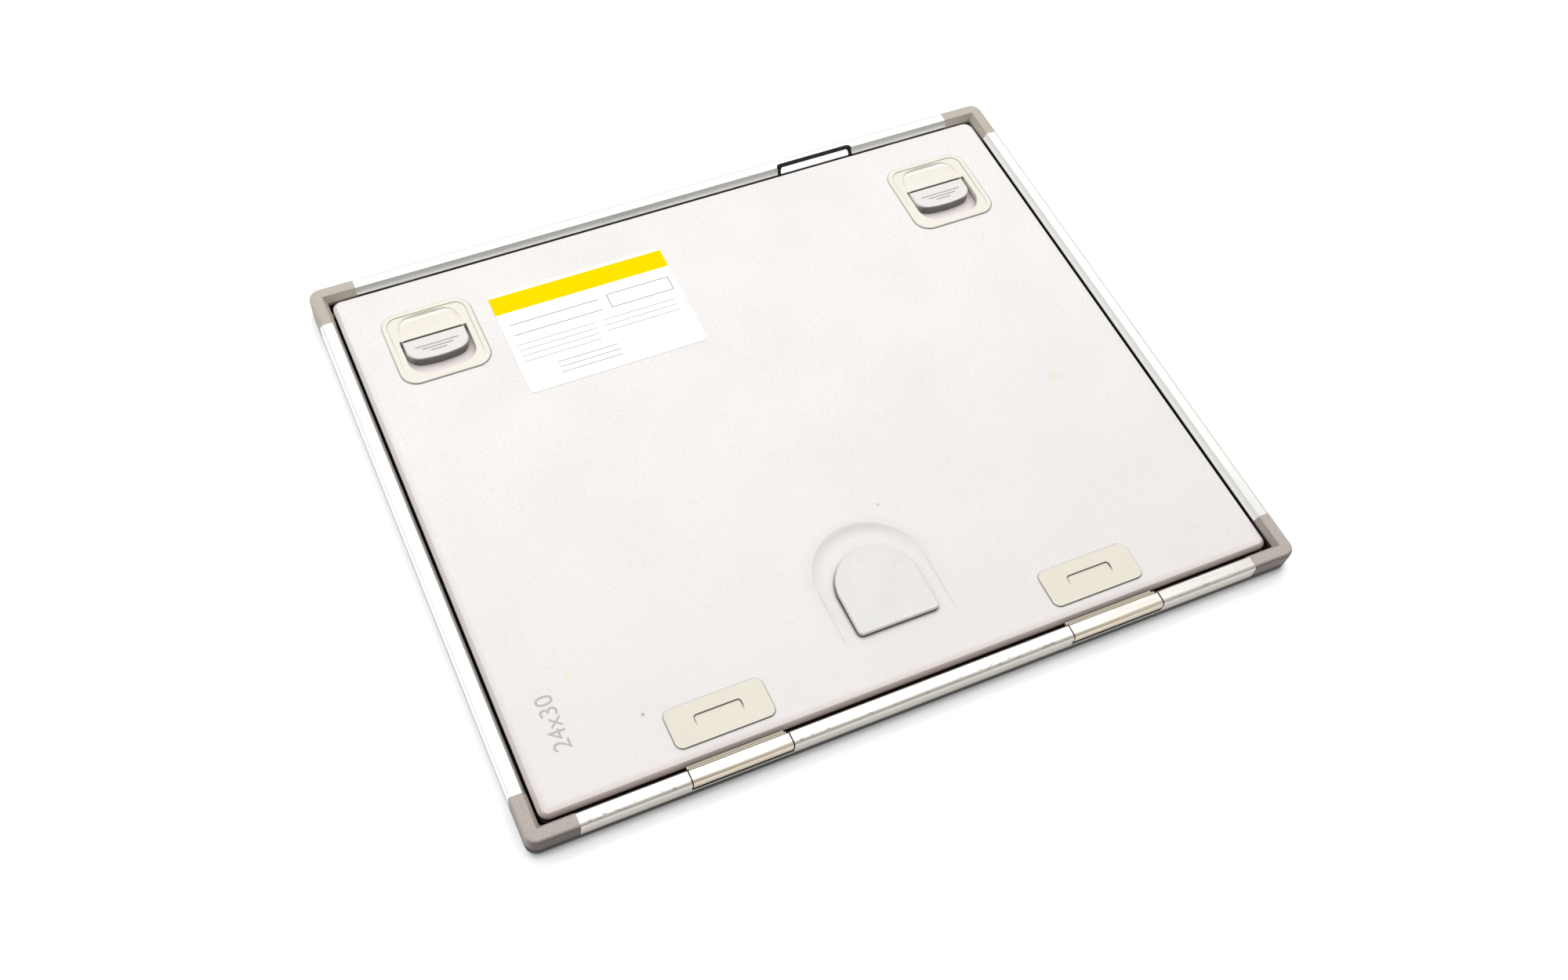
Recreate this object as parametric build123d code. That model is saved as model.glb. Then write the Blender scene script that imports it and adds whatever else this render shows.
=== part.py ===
from build123d import *
import math
import os

# A hinged x-ray film cassette for 24 x 30 cm film, latch side up, closed.
# Millimetres. X runs along the long side, -Y is the hinge rail, +Y the latch rail, +Z up.
# The origin is the centre of the underside, which is the tube side that the case rests on.

# ---- outer frame -------------------------------------------------------------------------
FRAME_LENGTH = 327.0          # along X, outside
FRAME_WIDTH = 267.0           # along Y, outside
FRAME_HEIGHT = 12.0           # rail height, above the surface the case rests on
RAIL_TOP_WIDTH = 5.3          # flat top of a rail, from its outer face
RAIL_WIDTH = 7.0              # outer face to inner wall
INNER_SLOPE_DROP = 3.0        # height of the sloped upper part of the inner wall
SIDE_TAPER = 0.45             # how far the outer side leans in below its upright band
SHOULDER_RADIUS = 1.7         # outer top edge of a rail
FOOT_CHAMFER = 1.0            # outer bottom edge of a rail
SEAM_HEIGHT = 3.4             # shadow groove round the outside
SEAM_WIDTH = 0.5
SEAM_DEPTH = 0.45
LIP_REACH = 1.6               # lip under the panel, past the inner wall
LIP_THICKNESS = 0.6
CORNER_RADIUS = 5.0           # outside corner, seen from above
CAP_LEG = 20.0                # corner cap, along each side from the corner

# ---- lower chamber of the extrusion and the tongues that plug it -------------------------
CHAMBER_INSET = 1.9
CHAMBER_WIDTH = 3.4
CHAMBER_BOTTOM = 2.8
CHAMBER_HEIGHT = 1.8
TONGUE_LENGTH = 12.0
TONGUE_FIT = 0.05

# ---- tray: panel, seal, screen -----------------------------------------------------------
PANEL_THICKNESS = 1.4
PANEL_SEAT = 2.4              # how deep the panel enters the rail's slot
PANEL_FIT = 0.05              # gap above, below and beyond the panel in its slot
SEAL_WIDTH = 6.0
SEAL_HEIGHT = 2.5
SEAL_FIT = 0.1                # seal to the rail's inner wall
SCREEN_GAP = 1.4              # screen's edge to the seal
SCREEN_THICKNESS = 0.4
SCREEN_CORNER = 2.0           # cut off each corner
FILM_SPACE = 0.4              # left between the two screens

# ---- lid ---------------------------------------------------------------------------------
LID_GAP = 1.05                # lid edge to the rail's inner wall
LID_DROP = 1.5                # lid top, below the rail top
LID_WALL = 1.5
LID_BEVEL = 1.6
LID_CORNER = 4.0
LID_SEAL_GAP = 0.4            # skirt to seal
FOAM_GAP = 0.9                # foam's edge to the seal
FOAM_FIT = 0.1
FOIL_THICKNESS = 0.2

# ---- hinges ------------------------------------------------------------------------------
HINGE_END_INSET = 83.5        # hinge centre to the frame's end
PORT_INSET = 3.3              # hinge axis and round port, in from the outer face
PORT_HEIGHT = 9.1             # and above the underside
PORT_RADIUS = 1.15
PIN_FIT = 0.05                # pin in the port and in the barrel
PIN_OVERHANG = 8.0            # past each end of a knuckle
KNUCKLE_LENGTH = 40.0
KNUCKLE_END_GAP = 0.4
KNUCKLE_SHELL = 1.0
KNUCKLE_STRIP_GAP = 0.3       # groove between the metal cover and the plastic strip
STRIP_WIDTH = 1.05
STRIP_DROP = 0.8              # strip top, below the rail top
NOTCH_CLEARANCE = 0.3         # round the knuckle as it turns
NOTCH_DROP = 1.1              # notch floor, below the arm
ARM_SETBACK = 0.5             # arm's ends, inside the metal cover
ARM_THICKNESS = 1.6
PLATE_LENGTH = 40.0
PLATE_WIDTH = 16.4
PLATE_INSET = 22.5            # plate centre to the frame's outer face
PLATE_CORNER = 3.0
PLATE_RISE = 0.6
PLATE_SLOT_LENGTH = 19.0
PLATE_SLOT_WIDTH = 5.2
PLATE_SLOT_DEPTH = 0.4
KEY_WIDTH = 5.4               # foot of the plate, down through the lid to the arm
KEY_END_INSET = 2.8           # in from the plate's end
KEY_FIT = 0.1

# ---- screws ------------------------------------------------------------------------------
SCREW_RADIUS = 0.9
SCREW_HEAD_RADIUS = 1.8
SCREW_HEAD_HEIGHT = 0.8
SCREW_GRIP = 2.2              # how far a screw enters a latch's boss
SCREW_FIT = 0.05
SCREW_SIDES = 8               # facets of a screw

# ---- dished field and the raised pad on it -----------------------------------------------
DISH_NEAR_INSET = 28.5        # where the dish runs out into the lid, from the outer face
DISH_RUN = 23.7               # from there to the centre of its round end
DISH_FLOOR_RADIUS = 20.0      # floor, inside its wall
DISH_DEPTH = 1.1              # at the far end of its floor
DISH_COVE_RADIUS = 14.0       # floor to wall
DISH_BROW_RADIUS = 10.0       # wall to rim
DISH_WALL_ANGLE = 20.0        # steepest slope
DISH_RIM_ANGLE = 4.0          # slope where the wall meets the lid
DISH_TOOL_RISE = 0.3          # the dish's form goes on this far above its rim
DISH_BACKING = 1.1            # extra thickness under the dish
DISH_BACKING_MARGIN = 2.0
PAD_WIDTH = 34.8
PAD_NEAR_INSET = 31.1         # straight edge, from the outer face
PAD_RUN = 17.9                # from there to the centre of its round end
PAD_HEIGHT = 2.1              # above the lid
PAD_CORNER = 2.0
PAD_EDGE = 0.5

# ---- latches: the Y values are from the bezel's centre -----------------------------------
LATCH_END_INSET = 43.0        # bezel centre to the frame's end
LATCH_SIDE_INSET = 43.2       # and to its far outer face
BEZEL_LENGTH = 39.0
BEZEL_WIDTH = 38.0
BEZEL_CORNER = 7.0
BEZEL_RISE = 0.6
BEZEL_OVERLAP = 1.3           # flange over the lid, all round
BEZEL_RIM = 2.2
BEZEL_FIELD_DEPTH = 0.25
BEZEL_FIT = 0.15
BEZEL_EDGE = 0.3
BOSS_HALF = 1.6               # half of a square screw boss
BOSS_INSET = 4.6              # its centre, from the bezel's edge
WELL_HALF_WIDTH = 14.75       # D-shaped opening
WELL_FAR = 4.2
WELL_NEAR = -15.8
WELL_ARC_RADIUS = 60.0
WELL_CORNER = 8.0
SCOOP_FAR_RIM = 0.6           # scoop's far edge to the bezel's rim
SCOOP_DEPTH = 1.3             # at its far edge, and nothing at the well
SCOOP_COVE = 1.2              # height of its sloped edge
SCOOP_COVE_WIDTH = 1.7
HOUSING_WALL = 1.2
HOUSING_FLOOR = 1.0
HOUSING_DEPTH = 3.7           # lid underside to the outside of its floor
SLIDER_SIDE_GAP = 1.15        # to the well's sides
SLIDER_FAR_GAP = 0.4          # to the well's straight edge
SLIDER_STOP_GAP = 2.1         # to the well's near edge, at the end of the travel
SLIDER_TRAVEL = 5.5
SLIDER_ARC_RADIUS = 50.0
SLIDER_CORNER = 6.5
SLIDER_DROP = 0.5             # button top, below the bezel top
SLIDER_EDGE = 0.5
SLIDER_FLOAT = 0.2            # over the housing floor
FLANGE_THICKNESS = 1.6
FLANGE_SIDE_GAP = 0.3         # to the bezel's screw bosses
FLANGE_END_GAP = 0.4          # to the housing's far wall
FLANGE_OVER_GAP = 0.3         # to the bezel above it
RIB_WIDTH = 0.4
RIB_HEIGHT = 0.25
RIB_LENGTHS = (19.0, 13.5, 7.0)
RIB_INSET = 4.7               # first rib to the button's straight edge
RIB_PITCH = 1.55
BOLT_HALF_WIDTH = 6.5
BOLT_THICKNESS = 1.0
BOLT_SEAT = 9.6               # how far it reaches into the flange
BOLT_TIP_GAP = 0.3            # bolt tip to the rail's inner wall
BOLT_NOSE = 2.5               # taper at the tip's corners
BOLT_FIT = 0.05
BOLT_SIDE_GAP = 0.3           # bolt in its duct
BOLT_PIN_RADIUS = 0.9
KEEPER_MARGIN = 1.5           # keeper, wider than the bolt on each side
KEEPER_HEIGHT = 2.6
KEEPER_DEPTH = 2.0
SKIRT_SLOT_MARGIN = 0.5       # round the bolt where it leaves the lid
SPRING_RADIUS = 0.72
SPRING_WIRE_RADIUS = 0.18
SPRING_TURNS = 5
SPRING_STEPS = 6              # straight runs in a turn
SPRING_FIT = 0.05
SPRING_WINDOW_WIDTH = 2.4
SPRING_WINDOW_LENGTH = 10.4
SPRING_WINDOW_INSET = 1.2     # window's far end to the flange's far edge
POST_GAP = 0.2                # spring post to the window's near end
POST_LENGTH = 1.3
POST_SIDE_GAP = 0.3
POST_DROP = 0.1               # post top, below the flange top

# ---- window in the latch rail ------------------------------------------------------------
WINDOW_END_INSET = 88.5       # window centre to the frame's end
WINDOW_LENGTH = 38.0
WINDOW_TOP_SHOW = 1.9         # rim on the rail's flat top
WINDOW_POCKET_SHOW = 0.5      # pocket below the rim
WINDOW_RIM = 1.6
WINDOW_RIM_THICKNESS = 0.8
WINDOW_SILL = 0.3             # rim under the strip
WINDOW_DEPTH = 3.8
WINDOW_CORNER = 2.0           # rim's back corners
OPENING_CORNER = 1.2          # and the opening's
INSERT_SINK = 0.35            # strip face, behind the rail's slope

# ---- label -------------------------------------------------------------------------------
LABEL_LENGTH = 80.0
LABEL_WIDTH = 54.5
LABEL_END_INSET = 70.5        # label's edge to the frame's left end
LABEL_SIDE_INSET = 29.0       # and to its far outer face
LABEL_THICKNESS = 0.15
LABEL_CORNER = 2.5

# ---- worked out from the above -----------------------------------------------------------
SIDES = {"left": -1, "right": 1}
HALF_LENGTH = FRAME_LENGTH / 2
HALF_WIDTH = FRAME_WIDTH / 2
SIDE_TOP = FRAME_HEIGHT - 2 * SHOULDER_RADIUS

PANEL_BOTTOM = LIP_THICKNESS + PANEL_FIT
PANEL_TOP = PANEL_BOTTOM + PANEL_THICKNESS
SLOT_TOP = PANEL_TOP + PANEL_FIT
SLOT_INSET = RAIL_WIDTH - PANEL_SEAT
SEAL_TOP = PANEL_TOP + SEAL_HEIGHT
SEAL_INNER_INSET = RAIL_WIDTH + SEAL_FIT + SEAL_WIDTH
FRONT_SCREEN_TOP = PANEL_TOP + SCREEN_THICKNESS
BACK_SCREEN_BOTTOM = FRONT_SCREEN_TOP + FILM_SPACE
FOIL_BOTTOM = BACK_SCREEN_BOTTOM + SCREEN_THICKNESS
FOAM_BOTTOM = FOIL_BOTTOM + FOIL_THICKNESS

LID_TOP = FRAME_HEIGHT - LID_DROP
LID_UNDER = LID_TOP - LID_WALL
LID_HALF_LENGTH = HALF_LENGTH - RAIL_WIDTH - LID_GAP
LID_HALF_WIDTH = HALF_WIDTH - RAIL_WIDTH - LID_GAP
SKIRT_BOTTOM = SEAL_TOP + LID_SEAL_GAP

PORT_AXIS = (PORT_INSET, PORT_HEIGHT)
PIN_RADIUS = PORT_RADIUS - PIN_FIT
HINGE_OFFSET = HALF_LENGTH - HINGE_END_INSET
HINGE_Y = -HALF_WIDTH + PORT_INSET
ARM_LENGTH = KNUCKLE_LENGTH - 2 * ARM_SETBACK
ARM_BOTTOM = LID_UNDER - ARM_THICKNESS
STRIP_START = RAIL_TOP_WIDTH + KNUCKLE_STRIP_GAP
STRIP_END = STRIP_START + STRIP_WIDTH
NOTCH_RADIUS = math.hypot(STRIP_END - PORT_INSET, PORT_HEIGHT - ARM_BOTTOM) + NOTCH_CLEARANCE
NOTCH_FLOOR = ARM_BOTTOM - NOTCH_DROP
PLATE_Y = -HALF_WIDTH + PLATE_INSET
PLATE_TOP = LID_TOP + PLATE_RISE
PLATE_SLOT_BOTTOM = PLATE_TOP - PLATE_SLOT_DEPTH
KEY_LENGTH = PLATE_LENGTH - 2 * KEY_END_INSET
HINGE_SCREW_OFFSET = (KEY_LENGTH - KEY_WIDTH) / 2

DISH_NEAR_Y = -HALF_WIDTH + DISH_NEAR_INSET
DISH_ARC_Y = DISH_NEAR_Y + DISH_RUN
PAD_NEAR_Y = -HALF_WIDTH + PAD_NEAR_INSET
PAD_ARC_Y = PAD_NEAR_Y + PAD_RUN

LATCH_OFFSET = HALF_LENGTH - LATCH_END_INSET
LATCH_Y = HALF_WIDTH - LATCH_SIDE_INSET
BEZEL_TOP = LID_TOP + BEZEL_RISE
FIELD_TOP = BEZEL_TOP - BEZEL_FIELD_DEPTH
BODY_LENGTH = BEZEL_LENGTH - 2 * BEZEL_OVERLAP
BODY_WIDTH = BEZEL_WIDTH - 2 * BEZEL_OVERLAP
BODY_CORNER = BEZEL_CORNER - BEZEL_OVERLAP
ROOM_LENGTH = BODY_LENGTH + 2 * BEZEL_FIT
ROOM_WIDTH = BODY_WIDTH + 2 * BEZEL_FIT
BOSS_X = BEZEL_LENGTH / 2 - BOSS_INSET
BOSS_Y = BEZEL_WIDTH / 2 - BOSS_INSET
HOUSING_BOTTOM = LID_UNDER - HOUSING_DEPTH
HOUSING_FLOOR_TOP = HOUSING_BOTTOM + HOUSING_FLOOR
DUCT_HALF_WIDTH = BOLT_HALF_WIDTH + BOLT_SIDE_GAP
DUCT_END = LID_HALF_WIDTH - LID_WALL - BEZEL_FIT - LATCH_Y
SLIDER_BOTTOM = HOUSING_FLOOR_TOP + SLIDER_FLOAT
SLIDER_TOP = BEZEL_TOP - SLIDER_DROP
SLIDER_HALF_WIDTH = WELL_HALF_WIDTH - SLIDER_SIDE_GAP
SLIDER_FAR = WELL_FAR - SLIDER_FAR_GAP
SLIDER_NEAR = WELL_NEAR + SLIDER_STOP_GAP + SLIDER_TRAVEL
FLANGE_TOP = SLIDER_BOTTOM + FLANGE_THICKNESS
FLANGE_HALF_WIDTH = BOSS_X - BOSS_HALF - FLANGE_SIDE_GAP
FLANGE_FAR = BODY_WIDTH / 2 - FLANGE_END_GAP
BEZEL_BOTTOM = FLANGE_TOP + FLANGE_OVER_GAP
SCOOP_FAR = BEZEL_WIDTH / 2 - BEZEL_RIM - SCOOP_FAR_RIM
BOLT_TOP = SLIDER_BOTTOM + BOLT_THICKNESS
BOLT_NEAR = FLANGE_FAR - BOLT_SEAT
BOLT_TIP = HALF_WIDTH - RAIL_WIDTH - BOLT_TIP_GAP - LATCH_Y
SPRING_OFFSET = (BOLT_HALF_WIDTH + FLANGE_HALF_WIDTH) / 2
SPRING_FAR = FLANGE_FAR - SPRING_WINDOW_INSET
POST_NEAR = SPRING_FAR - SPRING_WINDOW_LENGTH + POST_GAP
POST_FAR = POST_NEAR + POST_LENGTH

WINDOW_CENTRE_X = HALF_LENGTH - WINDOW_END_INSET
WINDOW_BACK = RAIL_TOP_WIDTH - WINDOW_TOP_SHOW
WINDOW_POCKET_BACK = RAIL_TOP_WIDTH - WINDOW_POCKET_SHOW
WINDOW_BOTTOM = FRAME_HEIGHT - WINDOW_DEPTH
LABEL_X = -HALF_LENGTH + LABEL_END_INSET + LABEL_LENGTH / 2
LABEL_Y = HALF_WIDTH - LABEL_SIDE_INSET - LABEL_WIDTH / 2


# ---- small helpers -----------------------------------------------------------------------
def block(low, high):
    """A box between two corners."""
    size = [b - a for a, b in zip(low, high)]
    middle = [(a + b) / 2 for a, b in zip(low, high)]
    return Pos(*middle) * Box(*size)


def area(low, high):
    """A flat rectangle between two corners."""
    middle = ((low[0] + high[0]) / 2, (low[1] + high[1]) / 2)
    return Pos(*middle) * Rectangle(high[0] - low[0], high[1] - low[1])


def slab(length, width, corner, bottom, top, centre=(0.0, 0.0)):
    """An upright prism with a rounded rectangular plan."""
    plan = Pos(centre[0], centre[1], bottom) * RectangleRounded(length, width, corner)
    return extrude(plan, top - bottom)


def prism(plan, bottom, top):
    """An upright prism over any plan."""
    return extrude(Pos(0, 0, bottom) * plan, top - bottom)


def rod(radius, start, end):
    """A round bar from one point to another."""
    line = Vector(*end) - Vector(*start)
    return extrude(Plane(origin=start, z_dir=line) * Circle(radius), line.length)


def d_plan(half_width, near_y, far_y, arc_radius, corner):
    """A D with its straight edge at the far side and its curve at the near one."""
    plan = area((-half_width, near_y), (half_width, far_y))
    plan &= Pos(0, near_y + arc_radius) * Circle(arc_radius)
    return fillet(plan.vertices().sort_by(Axis.Y)[:2], corner)


def side_at(height):
    """Inset of the rail's leaning outer side at a height."""
    return SIDE_TAPER * max(0, 1 - height / SIDE_TOP)


def group(solids):
    """Several equal pieces kept as separate solids in one node."""
    return Compound(children=list(solids))


# ---- frame extrusion ---------------------------------------------------------------------
def rail_outline():
    """Outline of the extrusion: inset from its outer face, then height."""
    lip_end = RAIL_WIDTH + LIP_REACH
    corners = [
        (SIDE_TAPER, 0),
        (lip_end, 0),
        (lip_end, LIP_THICKNESS),
        (SLOT_INSET, LIP_THICKNESS),
        (SLOT_INSET, SLOT_TOP),
        (RAIL_WIDTH, SLOT_TOP),
        (RAIL_WIDTH, FRAME_HEIGHT - INNER_SLOPE_DROP),
        (RAIL_TOP_WIDTH, FRAME_HEIGHT),
        (0, FRAME_HEIGHT),
        (0, SIDE_TOP),
    ]
    outline = make_face(Polyline(*corners, close=True))
    shoulder = outline.vertices().sort_by_distance((0, FRAME_HEIGHT))[0]
    outline = fillet(shoulder, SHOULDER_RADIUS)
    foot = outline.vertices().sort_by_distance((SIDE_TAPER, 0))[0]
    return chamfer(foot, FOOT_CHAMFER)


def seam():
    """Section of the shadow groove."""
    bottom = SEAM_HEIGHT - SEAM_WIDTH / 2
    return area((-SEAM_DEPTH, bottom), (side_at(SEAM_HEIGHT) + SEAM_DEPTH, bottom + SEAM_WIDTH))


def rail_section():
    """Section of the extrusion with its round port and its lower chamber."""
    chamber = area(
        (CHAMBER_INSET, CHAMBER_BOTTOM),
        (CHAMBER_INSET + CHAMBER_WIDTH, CHAMBER_BOTTOM + CHAMBER_HEIGHT),
    )
    port = Pos(*PORT_AXIS) * Circle(PORT_RADIUS)
    return rail_outline() - seam() - chamber - port


def along_near_side(section, half_span, start, end):
    """A section run along X with its outer face at Y = -half_span."""
    plane = Plane(origin=(start, -half_span, 0), x_dir=(0, 1, 0), z_dir=(1, 0, 0))
    return extrude(plane * section, end - start)


def rail(half_span, half_run):
    """A rail between two corner caps, on the near side."""
    end = half_run - CAP_LEG
    return along_near_side(rail_section(), half_span, -end, end)


def knuckle_notch(centre_x):
    """Room that the knuckle and its arm need in the hinge rail."""
    half = KNUCKLE_LENGTH / 2 + KNUCKLE_END_GAP
    start, end = centre_x - half, centre_x + half
    above = FRAME_HEIGHT + 1
    seat = rod(NOTCH_RADIUS, (start, HINGE_Y, PORT_HEIGHT), (end, HINGE_Y, PORT_HEIGHT))
    outer = block((start, -HALF_WIDTH - 1, PORT_HEIGHT), (end, HINGE_Y, above))
    inner_y = -HALF_WIDTH + RAIL_WIDTH + 1
    inner = block((start, HINGE_Y, NOTCH_FLOOR), (end, inner_y, above))
    return seat + outer + inner


def rail_near():
    """Hinge rail."""
    body = rail(HALF_WIDTH, HALF_LENGTH)
    for side in SIDES.values():
        body -= knuckle_notch(side * HINGE_OFFSET)
    return body


def keeper(centre_x):
    """Pocket in the latch rail's inner wall, where a bolt's tip belongs."""
    wall_y = HALF_WIDTH - RAIL_WIDTH
    half = BOLT_HALF_WIDTH + KEEPER_MARGIN
    bottom = (SLIDER_BOTTOM + BOLT_TOP - KEEPER_HEIGHT) / 2
    low = (centre_x - half, wall_y - 1, bottom)
    return block(low, (centre_x + half, wall_y + KEEPER_DEPTH, bottom + KEEPER_HEIGHT))


def rail_far():
    """Latch rail, with keepers and the window's pocket."""
    body = Rot(0, 0, 180) * rail(HALF_WIDTH, HALF_LENGTH)
    for side in SIDES.values():
        body -= keeper(side * LATCH_OFFSET)
    return body - window_pocket()


def corner_cap():
    """Cap for the corner at the origin, with legs along +X and +Y and their tongues."""
    section = rail_outline() - seam()
    leg = along_near_side(section, 0, CORNER_RADIUS, CAP_LEG)
    low = (CAP_LEG, CHAMBER_INSET + TONGUE_FIT, CHAMBER_BOTTOM + TONGUE_FIT)
    chamber_side = CHAMBER_INSET + CHAMBER_WIDTH - TONGUE_FIT
    chamber_top = CHAMBER_BOTTOM + CHAMBER_HEIGHT - TONGUE_FIT
    leg += block(low, (CAP_LEG + TONGUE_LENGTH, chamber_side, chamber_top))
    other = mirror(leg, about=Plane(origin=(0, 0, 0), z_dir=(1, -1, 0)))
    outer = section & area((-1, -1), (CORNER_RADIUS, FRAME_HEIGHT + 1))
    plane = Plane(origin=(CORNER_RADIUS, 0, 0), x_dir=(0, 1, 0), z_dir=(1, 0, 0))
    turn = Axis((CORNER_RADIUS, CORNER_RADIUS, 0), (0, 0, -1))
    bend = revolve(plane * outer, turn, 90)
    slot = block((SLOT_INSET, SLOT_INSET, LIP_THICKNESS), (CAP_LEG, CAP_LEG, SLOT_TOP))
    return leg + other + bend - slot


def corner_caps():
    """The four caps, one quarter turn apart."""
    corners = {
        "near_left": (-HALF_LENGTH, -HALF_WIDTH),
        "near_right": (HALF_LENGTH, -HALF_WIDTH),
        "far_right": (HALF_LENGTH, HALF_WIDTH),
        "far_left": (-HALF_LENGTH, HALF_WIDTH),
    }
    cap = corner_cap()
    return {
        f"corner_cap_{name}": Pos(x, y, 0) * Rot(0, 0, 90 * index) * cap
        for index, (name, (x, y)) in enumerate(corners.items())
    }


# ---- tray --------------------------------------------------------------------------------
def tube_panel():
    """Tube-side panel, held in the slot of all four rails."""
    inset = SLOT_INSET + PANEL_FIT
    low = (-HALF_LENGTH + inset, -HALF_WIDTH + inset, PANEL_BOTTOM)
    return block(low, (HALF_LENGTH - inset, HALF_WIDTH - inset, PANEL_TOP))


def sheet_inside_seal(gap, corner, bottom, top):
    """Flat sheet inside the light seal, at a gap from it, with its corners cut off."""
    inset = SEAL_INNER_INSET + gap
    plan = Rectangle(FRAME_LENGTH - 2 * inset, FRAME_WIDTH - 2 * inset)
    return prism(chamfer(plan.vertices(), corner), bottom, top)


def screen(bottom):
    """One intensifying screen."""
    return sheet_inside_seal(SCREEN_GAP, SCREEN_CORNER, bottom, bottom + SCREEN_THICKNESS)


def light_seal():
    """Ring of black foam on the panel, under the lid's skirt."""
    outer = RAIL_WIDTH + SEAL_FIT
    low = (-HALF_LENGTH + outer, -HALF_WIDTH + outer, PANEL_TOP)
    ring = block(low, (HALF_LENGTH - outer, HALF_WIDTH - outer, SEAL_TOP))
    low = (-HALF_LENGTH + SEAL_INNER_INSET, -HALF_WIDTH + SEAL_INNER_INSET, 0)
    high = (HALF_LENGTH - SEAL_INNER_INSET, HALF_WIDTH - SEAL_INNER_INSET, FRAME_HEIGHT)
    return ring - block(low, high)


def window_plan(half_length, back, corner=WINDOW_CORNER):
    """Plan of a recess in the latch rail, open to the lid, with its back corners rounded."""
    low = (WINDOW_CENTRE_X - half_length, HALF_WIDTH - RAIL_WIDTH - 1)
    plan = area(low, (WINDOW_CENTRE_X + half_length, HALF_WIDTH - back))
    return fillet(plan.vertices().sort_by(Axis.Y)[-2:], corner)


def window_pocket():
    """Pocket for the window's bezel, with a shallow step for its rim."""
    above = FRAME_HEIGHT + 1
    pocket = prism(window_plan(WINDOW_LENGTH / 2, WINDOW_POCKET_BACK), WINDOW_BOTTOM, above)
    rim_bottom = FRAME_HEIGHT - WINDOW_RIM_THICKNESS
    return pocket + prism(window_plan(WINDOW_LENGTH / 2, WINDOW_BACK), rim_bottom, above)


def window_opening():
    """Opening in the bezel that holds the strip."""
    half = WINDOW_LENGTH / 2 - WINDOW_RIM
    plan = window_plan(half, RAIL_TOP_WIDTH, OPENING_CORNER)
    return prism(plan, WINDOW_BOTTOM + WINDOW_SILL, FRAME_HEIGHT + 1)


def window_stock(sink):
    """Rail stock round the window, drawn back from the rail's surface by a sink."""
    half = WINDOW_LENGTH / 2 + 1
    stock = along_near_side(rail_outline(), HALF_WIDTH, -WINDOW_CENTRE_X - half, -WINDOW_CENTRE_X + half)
    return Pos(0, sink, 0) * Rot(0, 0, 180) * stock


def window_bezel():
    """Black bezel, flush with the rail."""
    return (window_stock(0) & window_pocket()) - window_opening()


def window_strip():
    """White strip in the bezel, a little behind its face."""
    return window_stock(INSERT_SINK) & window_opening()


# ---- hinges ------------------------------------------------------------------------------
def along_hinge(section, length, centre_x):
    """A section in the rail's own inset and height, run along a knuckle."""
    return along_near_side(section, HALF_WIDTH, centre_x - length / 2, centre_x + length / 2)


def hinge_pin(centre_x):
    """Steel pin in the rail's port, through the knuckle."""
    half = KNUCKLE_LENGTH / 2 + PIN_OVERHANG
    start = (centre_x - half, HINGE_Y, PORT_HEIGHT)
    return rod(PIN_RADIUS, start, (centre_x + half, HINGE_Y, PORT_HEIGHT))


def knuckle_cover(centre_x):
    """Metal cover that carries the rail's profile across the notch."""
    above = FRAME_HEIGHT + 1
    section = rail_outline() & area((-1, ARM_BOTTOM), (RAIL_TOP_WIDTH, above))
    inside = side_at(ARM_BOTTOM) + KNUCKLE_SHELL
    section -= area((inside, 0), (RAIL_TOP_WIDTH + 1, FRAME_HEIGHT - KNUCKLE_SHELL))
    return along_hinge(section, KNUCKLE_LENGTH, centre_x)


def hinge_screw_spots(centre_x):
    """Screw centres of one hinge."""
    return [(centre_x + side * HINGE_SCREW_OFFSET, PLATE_Y) for side in SIDES.values()]


def hinge_arm(centre_x):
    """Plastic arm: barrel inside the cover, strip beside it, leaf under the lid."""
    inside = side_at(ARM_BOTTOM) + KNUCKLE_SHELL
    leaf_end = PLATE_INSET + PLATE_WIDTH / 2
    section = area((inside, ARM_BOTTOM), (RAIL_TOP_WIDTH, FRAME_HEIGHT - KNUCKLE_SHELL))
    section += area((STRIP_START, ARM_BOTTOM), (STRIP_END, FRAME_HEIGHT - STRIP_DROP))
    section += area((PORT_INSET, ARM_BOTTOM), (leaf_end, LID_UNDER))
    section -= Pos(*PORT_AXIS) * Circle(PORT_RADIUS)
    arm = along_hinge(section, ARM_LENGTH, centre_x)
    for x, y in hinge_screw_spots(centre_x):
        arm -= screw_hole(x, y, 0, FRAME_HEIGHT)
    return arm


def key_block(centre_x, margin, bottom, top):
    """Foot of a hinge plate, or with a margin the hole that it needs."""
    half_x, half_y = KEY_LENGTH / 2 + margin, KEY_WIDTH / 2 + margin
    low = (centre_x - half_x, PLATE_Y - half_y, bottom)
    return block(low, (centre_x + half_x, PLATE_Y + half_y, top))


def hinge_plate(centre_x):
    """Cover plate on the lid, with a sunk slot, and its foot through the lid."""
    centre = (centre_x, PLATE_Y)
    plate = slab(PLATE_LENGTH, PLATE_WIDTH, PLATE_CORNER, LID_TOP, PLATE_TOP, centre)
    slot_corner = PLATE_SLOT_WIDTH / 4
    slot = (PLATE_SLOT_LENGTH, PLATE_SLOT_WIDTH, slot_corner, PLATE_SLOT_BOTTOM, PLATE_TOP + 1)
    plate -= slab(*slot, centre)
    plate += key_block(centre_x, 0, LID_UNDER, LID_TOP)
    for x, y in hinge_screw_spots(centre_x):
        plate -= screw_hole(x, y, 0, LID_TOP)
    return plate


def screw_bar(radius, x, y, bottom, top):
    """An upright bar with the facets of a screw."""
    return prism(Pos(x, y) * RegularPolygon(radius, SCREW_SIDES), bottom, top)


def screw_hole(x, y, bottom, top):
    """Hole that a screw's shank fills."""
    return screw_bar(SCREW_RADIUS + SCREW_FIT, x, y, bottom, top)


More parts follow.
